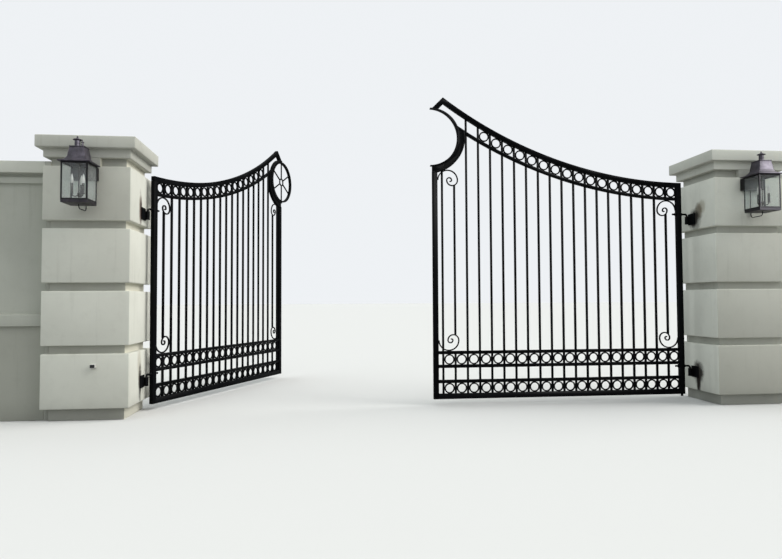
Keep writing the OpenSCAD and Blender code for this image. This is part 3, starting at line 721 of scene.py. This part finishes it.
def lantern_axis():
    """Where the left lantern's middle stands in x and y, and the heights of its floor and its eave."""
    low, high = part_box("left_lantern_cage")
    return (low.x + high.x) / 2, (low.y + high.y) / 2, low.z, high.z


def hand_over(obj, name, body, finish, node=None):
    """Names a finished piece, gives it its finish and lets it ride on its body, in a CAD node's place."""
    obj.name = name
    obj.data.name = name
    obj.data.materials.clear()
    obj.data.materials.append(finish_named(finish))
    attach(obj, body)
    if node:
        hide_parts(node)


def hand_over_pair(left, right, name, finish, node=None):
    """The same for a piece of the piers that both sides have."""
    for side, obj in (("left", left), ("right", right)):
        hand_over(obj, f"{side}_{name}", "piers", finish, node and f"{side}_{node}")


def paint_node(name, finish):
    """Gives a CAD node that shows as it is its finish."""
    node = frame["nodes"][name]
    node.data.materials.clear()
    node.data.materials.append(finish_named(finish))


# The pieces: what both sides share is modelled on the left and copied to the right

class GATE_OT_iron_leaves(bpy.types.Operator):
    """Takes the sharp edges off the leaves' bars and strips, and paints them black"""
    bl_idname = "gate.iron_leaves"
    bl_label = "Round and paint the leaves"

    def execute(self, context):
        size = context.scene.gate_leaves
        bars = ("hinge_stile", "latch_stile", "bottom_rail", "mid_rails", "top_rail", "second_rail",
                "pickets")
        strips = ("ring_bands", "top_rings", "scrolls", "crescent")
        for side in SIDES:
            for part in bars:
                self.eased(side, part, size.bar_edge, size.bar_angle)
            for part in strips:
                self.eased(side, part, size.strip_edge, size.bar_angle)
        self.eased("left", "medallion", size.strip_edge, size.bar_angle)
        return {"FINISHED"}

    def eased(self, side, part, edge, angle):
        """A node's copy with rounded edges, which stands for it."""
        angle = math.degrees(angle)
        piece = rounded(copy_of_node(f"{side}_{part}"), edge, 2, angle, flat=True)
        hand_over(smoothed(piece, angle), f"{side}_eased_{part}", f"{side}_leaf", "black_iron",
                  f"{side}_{part}")


class GATE_OT_hinge_bolts(bpy.types.Operator):
    """Forges the bent bolts with their nuts and threads"""
    bl_idname = "gate.hinge_bolts"
    bl_label = "Forge the hinge bolts"

    def execute(self, context):
        size = context.scene.gate_hinges
        far = size.stile_near + size.stile
        z = size.lower + size.barrel_height / 2 + size.bend + size.bend_rise
        bent = arc((size.bend, 0, z - size.bend), size.bend, 180, 90, (1, 0, 0), (0, 0, 1), 8)
        foot = Vector((0, 0, size.lower - size.barrel_height / 2))
        bare, start = 0.012, 0.006
        bar = rod([foot, *bent, Vector((far + bare, 0, z))], size.rod)
        thread = self.thread(size, (far + start, 0, z), size.nut_height + size.tail - start)

        gap, bevel, tall = 0.0003, 0.0012, size.nut_height
        flat, corner = size.nut / 2 - 0.0023, size.nut / 2
        outline = [(flat, 0.0), (corner, bevel), (corner, tall - bevel), (flat, tall)]
        nut = stacked(outline, (far + gap, 0, z), sides=6, edge=0.0006, lying=True, smooth=25)
        inner_nut = copied(nut, (-size.stile - tall - 2 * gap, 0, 0))

        lower = joined([bar, thread, nut, inner_nut])
        bolts = joined([lower, copied(lower, (0, 0, size.upper - size.lower))])
        for side, obj, turn in (("left", bolts, LEFT_TURN), ("right", copied(bolts), RIGHT_TURN)):
            moved(obj, (PIN_X[side], 0, 0), turn)
            hand_over(obj, f"{side}_forged_bolts", f"{side}_leaf", "hinge_iron",
                      f"{side}_hinge_bolts")
        return {"FINISHED"}

    def thread(self, size, at, run):
        """A threaded end, which starts inside the bar and runs past the nut."""
        groove, crest, lead = size.rod / 2 - 0.0016, size.rod / 2 - 0.0002, 0.0014
        ridges = [(groove, 0.0), (crest, lead)]
        for i in range(int((run - 0.002) / size.thread)):
            ridges += [(groove, lead + (i + 0.5) * size.thread), (crest, lead + (i + 1) * size.thread)]
        ridges.append((size.rod / 2 - 0.0025, run))
        return stacked(ridges, at, sides=24, lying=True, smooth=20)


class GATE_OT_hinge_brackets(bpy.types.Operator):
    """Welds the plates, webs and barrels on the piers"""
    bl_idname = "gate.hinge_brackets"
    bl_label = "Weld the hinge brackets"

    def execute(self, context):
        size = context.scene.gate_hinges
        pin = PIN_X["left"]
        face = pin - size.pin_out
        front = face + size.plate_thickness
        low, tall = size.lower - size.barrel_height / 2, size.barrel_height
        half, middle = size.plate / 2, size.lower + size.plate_up
        plate = block((face, -size.plate_front - half, middle - half),
                      (front, -size.plate_front + half, middle + half), 0.0018)
        bite, clear = 0.004, 0.013
        web = block((face + bite, -size.web / 2, low), (pin - clear, size.web / 2, low + tall), 0.001)

        radius, bevel, play = size.barrel / 2, 0.0012, 0.0004
        outline = [(radius - bevel, 0.0), (radius, bevel), (radius, tall - bevel), (radius - bevel, tall)]
        barrel = self.bored(stacked(outline, (pin, 0, low), sides=48), pin, size.rod / 2 + play)

        off, wobble, drop = 0.0005, 0.0006, 0.004
        weld_y, weld_low = size.web / 2 + off, low + 0.003
        drops = [Vector((front + off, wobble * math.sin(i * 1.9) - weld_y, weld_low + drop * i))
                 for i in range(19)]
        bead = rod(drops, size.bead, resolution=2)
        lower = joined([plate, web, barrel, bead, copied(bead, (0, 2 * weld_y, 0))])
        brackets = joined([lower, copied(lower, (0, 0, size.upper - size.lower))])
        hand_over_pair(brackets, mirrored(brackets), "welded_brackets", "hinge_iron",
                       "hinge_brackets")
        return {"FINISHED"}

    def bored(self, barrel, x, radius):
        """Cuts the pin's hole through a barrel."""
        drill = stacked([(radius, -0.01), (radius, 3.0)], (x, 0, 0), sides=48, smooth=0)
        only(barrel)
        mod = barrel.modifiers.new("Bore", "BOOLEAN")
        mod.operation = "DIFFERENCE"
        mod.object = drill
        bpy.ops.object.modifier_apply(modifier=mod.name)
        bpy.data.objects.remove(drill)
        return barrel


class GATE_OT_piers(bpy.types.Operator):
    """Builds the two piers from courses round a sunk core"""
    bl_idname = "gate.piers"
    bl_label = "Build the piers"

    def execute(self, context):
        size = context.scene.gate_piers
        wall = context.scene.gate_walls
        low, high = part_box("left_pier")
        foot, step = low.z + size.base_height, size.course_height + size.joint_height
        first = block((low.x, low.y, foot), (high.x, high.y, foot + size.course_height), size.edge, 3)
        others = [copied(first, (0, 0, i * step)) for i in range(1, size.courses)]
        courses = smoothed(joined([first, *others]))
        hand_over_pair(courses, right_copy(courses, "pier"), "pier_courses", "pier_render", "pier")

        sunk, bite = size.joint_depth, 0.01
        neck = foot + size.courses * step - size.joint_height
        x, half = (low.x + high.x) / 2, size.pad_width / 2
        y = low.y + wall.set_back + wall.thickness / 2
        core = smoothed(joined([
            block((low.x + sunk, low.y + sunk, low.z), (high.x - sunk, high.y - sunk, high.z),
                  size.core_edge),
            block((x - half, low.y, neck - bite), (x + half, low.y + sunk + bite, high.z), size.pad_edge),
            tower(low.x, low.x + sunk + 0.002, y, wall_outline(wall), size.pad_edge)]))
        hand_over_pair(core, mirrored(core), "pier_core", "joint_render")
        return {"FINISHED"}


class GATE_OT_caps(bpy.types.Operator):
    """Builds the caps with their lower band and sloped crown"""
    bl_idname = "gate.caps"
    bl_label = "Build the caps"

    def execute(self, context):
        size = context.scene.gate_piers
        low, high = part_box("left_cap")
        over, bite, crown_foot = size.overhang, 0.01, low.z + size.fascia_height
        band = block((low.x + over, low.y + over, low.z), (high.x - over, high.y - over, crown_foot + bite),
                     size.band_edge, 3)
        crown = block((low.x, low.y, crown_foot), (high.x, high.y, high.z - size.slope_height))
        only(crown)
        bpy.ops.object.mode_set(mode="EDIT")
        bpy.ops.mesh.select_mode(type="FACE")
        bpy.ops.mesh.select_all(action="DESELECT")
        bpy.ops.object.mode_set(mode="OBJECT")
        for face in crown.data.polygons:
            face.select = face.normal.z > 0.9
        bpy.ops.object.mode_set(mode="EDIT")
        bpy.ops.mesh.inset(thickness=0.012)
        bpy.ops.mesh.extrude_region_move(TRANSFORM_OT_translate={"value": (0, 0, size.slope_height)})
        bpy.ops.transform.resize(value=(0.36, 0.34, 1.0), center_override=(low + high) / 2)
        bpy.ops.object.mode_set(mode="OBJECT")
        cap = smoothed(joined([band, rounded(crown, size.cap_edge, 3)]))
        hand_over_pair(cap, right_copy(cap, "cap"), "cap_render", "cap_render", "cap")
        return {"FINISHED"}


class GATE_OT_walls(bpy.types.Operator):
    """Builds the garden walls with their foot, ledge, band and coping"""
    bl_idname = "gate.walls"
    bl_label = "Build the walls"

    def execute(self, context):
        size = context.scene.gate_walls
        low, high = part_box("left_wall")
        wall = smoothed(tower(low.x, high.x, (low.y + high.y) / 2, wall_outline(size), size.edge))
        hand_over_pair(wall, right_copy(wall, "wall"), "wall_render", "wall_render", "wall")
        return {"FINISHED"}


class GATE_OT_lantern_bodies(bpy.types.Operator):
    """Makes the mounting boxes, hooks, trays and cages of the lanterns"""
    bl_idname = "gate.lantern_bodies"
    bl_label = "Make the lantern bodies"

    def execute(self, context):
        size = context.scene.gate_lanterns
        x, y, floor, eave = lantern_axis()
        for piece, name, finish, node in (
                (self.mount(size, x, y, floor, eave), "lantern_mount", "dark_copper", "lantern_base"),
                (self.tray(size, x, y, floor), "lantern_tray", "tray_copper", None),
                (self.cage(size, x, y, floor, eave), "lantern_posts", "dark_copper", "lantern_cage")):
            hand_over_pair(piece, right_copy(piece, "lantern_cage"), name, finish, node)
        for side in SIDES:
            paint_node(f"{side}_lantern_glass", "lantern_glass")
        return {"FINISHED"}

    def mount(self, size, x, y, floor, eave):
        """The box on the pier and the hook that carries the tray from below."""
        half, lap, foot = size.box_width / 2, 0.001, eave - size.box_height
        wall_y, box_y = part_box("left_lantern_base")[1].y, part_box("left_lantern_cage")[1].y
        box = block((x - half, box_y, foot), (x + half, wall_y, eave), 0.003)
        flange = block((x - half + lap, wall_y - 0.004, foot + lap), (x + half - lap, wall_y, eave - lap),
                       0.001)
        hook_y, bend = wall_y - 0.006, size.hook_bend
        turn_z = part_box("left_lantern_base")[0].z + size.hook_rod / 2 + bend
        path = [Vector((x, hook_y, foot + 0.002))]
        path += arc((x, hook_y - bend, turn_z), bend, 0, -90, (0, 1, 0), (0, 0, 1), 8)
        path += arc((x, y + bend, turn_z), bend, 270, 180, (0, 1, 0), (0, 0, 1), 8)
        path.append(Vector((x, y, floor - size.tray + 0.002)))
        return joined([box, flange, rod(path, size.hook_rod)])

    def tray(self, size, x, y, floor):
        """The tray with its lip and the boss in its middle."""
        half = size.cage / 2
        tray = block((x - half, y - half, floor - size.tray), (x + half, y + half, floor), 0.003)
        lip = self.square(x, y, half, floor - 0.006, 0.005, 0.006)
        boss = stacked([(0.013, 0.0), (0.013, 0.003), (0.008, 0.005)], (x, y, floor - 0.001), sides=24)
        return joined([tray, lip, boss])

    def cage(self, size, x, y, floor, eave):
        """Four angle bars, with a square of bars at the foot and at the eave."""
        half, wide, thick = size.cage / 2, size.post + 0.004, size.post_sheet
        legs = [block((x + half - deep, y + half - across, floor), (x + half, y + half, eave), 0.0005, 1)
                for deep, across in ((wide, thick), (thick, wide))]
        posts = around(joined(legs), x, y, 4)
        foot = self.square(x, y, half - 0.0005, floor, wide, wide)
        return joined([*posts, foot, copied(foot, (0, 0, eave - wide - floor))])

    def square(self, x, y, half, z, deep, tall):
        """Four bars round a square."""
        long = block((x - half, y - half, z), (x + half, y - half + deep, z + tall), 0.0006, 1)
        short = block((x - half, y - half + deep, z), (x - half + deep, y + half - deep, z + tall), 0.0006, 1)
        return joined([*around(long, x, y, 2), *around(short, x, y, 2)])


# Where the vents stand on the lid, measured from its middle
VENT_AT = (-0.010, -0.015)
SLIM_VENT_AT = (0.016, 0.022)
# A vent's outline above its flange, as shares of its radius and height
VENT = ((1, 0.3), (1.06, 0.32), (1, 0.34), (1, 0.62), (1.6, 0.635), (1.65, 0.66), (1.6, 0.69),
        (0.9, 0.76), (0.3, 0.84), (0.28, 0.88), (0.36, 0.92), (0.3, 0.96), (0.1, 1))


class GATE_OT_lantern_hoods(bpy.types.Operator):
    """Folds the flared hoods and sets their vents"""
    bl_idname = "gate.lantern_hoods"
    bl_label = "Fold the lantern hoods"

    def execute(self, context):
        size = context.scene.gate_lanterns
        x, y, _, _ = lantern_axis()
        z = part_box("left_lantern_hood")[0].z
        outline = self.outline(size)
        shell = self.folded(outline, (x, y, z), 0.0012)
        top, base = size.hood_top / 2, size.hood_height
        lid = [(top + 0.003, base - 0.001), (top + 0.004, base), (top + 0.004, base + size.lid - 0.001),
               (top + 0.002, base + size.lid)]
        seam = rod([Vector((x + r - 0.0006, y + r - 0.0006, z + h)) for r, h in outline[2:]],
                   size.seam, resolution=2)
        parts = [shell, self.folded(lid, (x, y, z), 0.0008), *around(seam, x, y, 4)]
        for (right, back), radius, tall in ((VENT_AT, size.vent, size.vent_height),
                                            (SLIM_VENT_AT, size.slim_vent, size.slim_vent_height)):
            vent = [(radius * 1.12, 0.0), (radius * 1.12, 0.002), (radius, 0.004)]
            vent += [(radius * wide, tall * high) for wide, high in VENT]
            at = (x + right, y + back, z + base + size.lid - 0.001)
            parts.append(stacked(vent, at, sides=40, smooth=30))
        hood = joined(parts)
        hand_over_pair(hood, right_copy(hood, "lantern_cage"), "folded_hood", "aged_copper",
                       "lantern_hood")
        return {"FINISHED"}

    def outline(self, size):
        """Half the hood's width at each height: its rim, its flare and its neck."""
        foot, neck, out, steps = size.hood_foot / 2, size.hood_neck / 2, 0.002, 11
        centre = size.hood_rim + math.sqrt(size.flare ** 2 - out ** 2)
        made = [(foot - 0.004, 0.0), (foot, 0.0), (foot, size.hood_rim)]
        for i in range(1, steps + 1):
            a = math.pi / 2 * i / steps
            half = foot + out - size.flare * math.sin(a)
            if half > neck:
                made.append((half, centre - size.flare * math.cos(a)))
        return made + [(neck, size.neck_height), (size.hood_top / 2, size.hood_height)]

    def folded(self, outline, at, edge):
        """A square stack of half widths and heights."""
        corners = [(half * math.sqrt(2), high) for half, high in outline]
        return stacked(corners, at, sides=4, turn=math.pi / 4, edge=edge, smooth=25)


# A candle lamp's outline above its foot: radius, and height as a share of the whole
LAMP = ((0.0128, 0.33), (0.0122, 0.48), (0.0091, 0.66), (0.0055, 0.82), (0.003, 0.93), (0.0012, 1))


class GATE_OT_candles(bpy.types.Operator):
    """Hangs the three candles of each lantern from their rose"""
    bl_idname = "gate.candles"
    bl_label = "Hang the candles"

    def execute(self, context):
        size = context.scene.gate_lanterns
        x, y, floor, eave = lantern_axis()
        foot, top = size.candle_foot, eave - floor - 0.0003
        outline = [(0.002, foot - 0.034), (0.006, foot - 0.024), (0.012, foot - 0.02), (0.0125, foot - 0.004),
                   (0.012, foot + 0.006), (0.005, foot + 0.012), (0.005, top - 0.01), (0.021, top - 0.007),
                   (0.03, top - 0.0035), (0.03, top)]
        stem = stacked(outline, (x, y, floor))

        first = math.radians(-30)
        out = Vector((math.cos(first), math.sin(first), 0))
        near = 0.007
        bend = (size.candle_ring - near) / 2
        centre = Vector((x, y, floor + foot)) + out * (near + bend)
        arm = rod(arc(centre, bend, 180, 360, out, (0, 0, 1), 12), size.arm)
        spot = Vector((x, y, floor)) + out * size.candle_ring
        cup = [(0.006, foot - 0.003), (0.0135, foot - 0.001), (0.0145, foot + 0.002), (0.0105, foot + 0.003)]
        holder = joined([arm, stacked(cup, spot, sides=24, smooth=30)])
        base = foot + size.sleeve
        sleeve = [(0.0098, foot), (0.01, foot + 0.002), (0.01, base - 0.002), (0.0085, base)]
        lamp = [(0.0065, base - 0.001), (0.0072, base + 0.006), (0.0105, base + 0.016)]
        lamp += [(radius, base + size.lamp * high) for radius, high in LAMP]

        sleeves = joined(around(stacked(sleeve, spot, sides=24), x, y, 3))
        lamps = joined(around(stacked(lamp, spot, sides=24, smooth=60), x, y, 3))
        metal = joined([stem, *around(holder, x, y, 3)])
        for piece, name, slot, finish, node in (
                (metal, "candle_stem", "burner_brass", "burner_brass", "lantern_burner"),
                (sleeves, "candle_sleeves", "burner_brass", "candle_sleeve", None),
                (lamps, "candle_lamps", "lantern_glass", "candle_lamp", None)):
            hand_over_pair(piece, right_copy(piece, "lantern_cage"), name, finish, node)
        return {"FINISHED"}


class GATE_OT_sensor(bpy.types.Operator):
    """Makes the sensor on the left pier"""
    bl_idname = "gate.sensor"
    bl_label = "Make the sensor"

    def execute(self, context):
        low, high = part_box("left_sensor")
        shell = block(low, high, 0.0035, 3)
        lap, rim = 0.001, 0.003
        collar = block((low.x + lap, high.y - 0.004, low.z + lap), (high.x - lap, high.y, high.z - lap),
                       0.001)
        case = smoothed(joined([shell, collar]), 30)
        hand_over(case, "left_sensor_case", "piers", "sensor_case", "left_sensor")
        lens = block((low.x + rim, low.y - 0.0012, low.z + rim + 0.0005),
                     (high.x - rim, low.y + 0.004, high.z - rim - 0.0005), 0.0022, 3)
        hand_over(smoothed(lens, 30), "left_sensor_lens", "piers", "sensor_lens")
        return {"FINISHED"}


# The camera, as it was found from the photograph
CAMERA_PLACE = (-1.0096, -5.9035, 0.9926)
CAMERA_YAW = 0.106
CAMERA_PITCH = 0.036
CAMERA_ROLL = -0.005
FOCAL_PIXELS = 618.968
IMAGE_WIDTH = 782
SENSOR_WIDTH = 36.0

# Each lamp's energy, spread in degrees, colour and place, and whether matt surfaces take its light
LAMPS = {
    "key_lamp": (2.5, 50, (1.0, 0.985, 0.955), (0.9, -0.1, 0.75), True),
    "gleam_lamp": (4.6, 24, (1.0, 1.0, 1.0), (0.62, -0.66, 0.42), False),
}


class GATE_OT_stage(bpy.types.Operator):
    """Lays the floor, sets the lamps and the camera"""
    bl_idname = "gate.stage"
    bl_label = "Set the stage"

    def execute(self, context):
        scene = context.scene
        self.lay_floor()
        self.paint_world(scene)
        for name in LAMPS:
            self.hang_lamp(name)
        self.set_camera(scene)
        scene.view_settings.view_transform = "Standard"
        return {"FINISHED"}

    def lay_floor(self):
        """A pale floor that gives off less light than it shows."""
        deselect()
        bpy.ops.mesh.primitive_plane_add(size=400, location=(0, 150, -0.001))
        floor = bpy.context.object
        floor.name = "floor"
        settle(floor)
        mat, tree, shader = make_material("Pale floor")
        seen = add_node(tree, "ShaderNodeLightPath").outputs["Is Camera Ray"]
        base = blend_colour(tree, seen, (0.3, 0.3, 0.295), (0.66, 0.66, 0.65))
        connect(tree, shader, {"Base Color": base, "Roughness": 0.9, "Specular IOR Level": 0.0})
        floor.data.materials.append(mat)

    def paint_world(self, scene):
        """A pale background, and a fill light that is stronger from above and from the left."""
        world = bpy.data.worlds.new("Studio") if scene.world is None else scene.world
        scene.world = world
        world.use_nodes = True
        tree = world.node_tree
        tree.nodes.clear()
        rays = add_node(tree, "ShaderNodeLightPath").outputs
        around_us = add_node(tree, "ShaderNodeTexCoord").outputs["Generated"]
        sky = add_node(tree, "ShaderNodeSeparateXYZ", {0: around_us}).outputs

        seen = maths(tree, "MAXIMUM", rays["Is Camera Ray"], rays["Is Transmission Ray"])
        mirrored_rays = rays["Is Glossy Ray"]
        behind = ramp(tree, sky["Y"], 0.0, 0.6)
        street = maths(tree, "SUBTRACT", 1.0, behind)
        half_seen = times(tree, times(tree, mirrored_rays, 0.5), street)
        seen = maths(tree, "MAXIMUM", seen, half_seen)

        level = ramp(tree, sky["Z"], -0.05, 0.9, 0.45, 0.82)
        dimmed = times(tree, times(tree, mirrored_rays, behind), 0.75)
        level = times(tree, level, maths(tree, "SUBTRACT", 1.0, dimmed))
        level = times(tree, level, ramp(tree, sky["X"], -1.0, 1.0, 1.6, 0.74))
        tint = blend_colour(tree, ramp(tree, sky["X"], -1.0, 1.0), (0.9, 0.975, 1.0), (0.98, 0.99, 0.97))
        fill = add_node(tree, "ShaderNodeBackground", {"Color": tint, "Strength": level})
        pale = add_node(tree, "ShaderNodeBackground", {"Color": (0.86, 0.885, 0.91, 1.0), "Strength": 1.0})
        mixed = add_node(tree, "ShaderNodeMixShader", {0: seen, 1: fill.outputs[0], 2: pale.outputs[0]})
        add_node(tree, "ShaderNodeOutputWorld", {"Surface": mixed.outputs[0]})

    def hang_lamp(self, name):
        """A far lamp that shines from its place towards the gate."""
        energy, spread, tone, towards, lights_matt = LAMPS[name]
        deselect()
        bpy.ops.object.light_add(type="SUN", location=Vector(towards) * 8)
        lamp = bpy.context.object
        lamp.name = name
        lamp.data.energy = energy
        lamp.data.angle = math.radians(spread)
        lamp.data.color = tone
        lamp.visible_diffuse = lights_matt
        lamp.rotation_euler = Vector(towards).to_track_quat("Z", "Y").to_euler()

    def set_camera(self, scene):
        """The camera at its place, turned by its yaw, pitch and roll."""
        data = bpy.data.cameras.new("camera")
        camera = bpy.data.objects.new("camera", data)
        bpy.context.collection.objects.link(camera)
        data.sensor_width = SENSOR_WIDTH
        data.lens = FOCAL_PIXELS / IMAGE_WIDTH * SENSOR_WIDTH
        data.clip_end = 1000
        forward = Vector((math.sin(CAMERA_YAW) * math.cos(CAMERA_PITCH),
                          math.cos(CAMERA_YAW) * math.cos(CAMERA_PITCH), math.sin(CAMERA_PITCH)))
        flat_right = Vector((math.cos(CAMERA_YAW), -math.sin(CAMERA_YAW), 0))
        flat_up = flat_right.cross(forward)
        right = math.cos(CAMERA_ROLL) * flat_right + math.sin(CAMERA_ROLL) * flat_up
        up = -math.sin(CAMERA_ROLL) * flat_right + math.cos(CAMERA_ROLL) * flat_up
        turned = Matrix((right, up, -forward)).transposed().to_4x4()
        camera.matrix_world = Matrix.Translation(CAMERA_PLACE) @ turned
        scene.camera = camera


class GATE_PT_panel(bpy.types.Panel):
    """Lists the gate's steps in the sidebar"""
    bl_idname = "GATE_PT_panel"
    bl_label = "Driveway gate"
    bl_space_type = "VIEW_3D"
    bl_region_type = "UI"
    bl_category = "Gate"

    def draw(self, context):
        for step in STEPS:
            self.layout.operator(step.bl_idname)
        for group, _ in GROUPS:
            settings = getattr(context.scene, group)
            for key in type(settings).__annotations__:
                self.layout.prop(settings, key)


GROUPS = (("gate_piers", PierSizes), ("gate_walls", WallSizes), ("gate_lanterns", LanternSizes),
          ("gate_leaves", LeafSizes), ("gate_hinges", HingeSizes), ("gate_finishes", Finishes))
STEPS = (GATE_OT_iron_leaves, GATE_OT_hinge_bolts, GATE_OT_hinge_brackets, GATE_OT_piers, GATE_OT_caps,
         GATE_OT_walls, GATE_OT_lantern_bodies, GATE_OT_lantern_hoods, GATE_OT_candles, GATE_OT_sensor,
         GATE_OT_stage)


def register():
    for name, group in GROUPS:
        bpy.utils.register_class(group)
        setattr(bpy.types.Scene, name, bpy.props.PointerProperty(type=group))
    for cls in (*STEPS, GATE_PT_panel):
        bpy.utils.register_class(cls)


def unregister():
    for cls in reversed((*STEPS, GATE_PT_panel)):
        bpy.utils.unregister_class(cls)
    for name, group in reversed(GROUPS):
        delattr(bpy.types.Scene, name)
        bpy.utils.unregister_class(group)


def main():
    register()
    for step in STEPS:
        section, call = step.bl_idname.split(".")
        getattr(getattr(bpy.ops, section), call)()


if __name__ == "__main__":
    main()
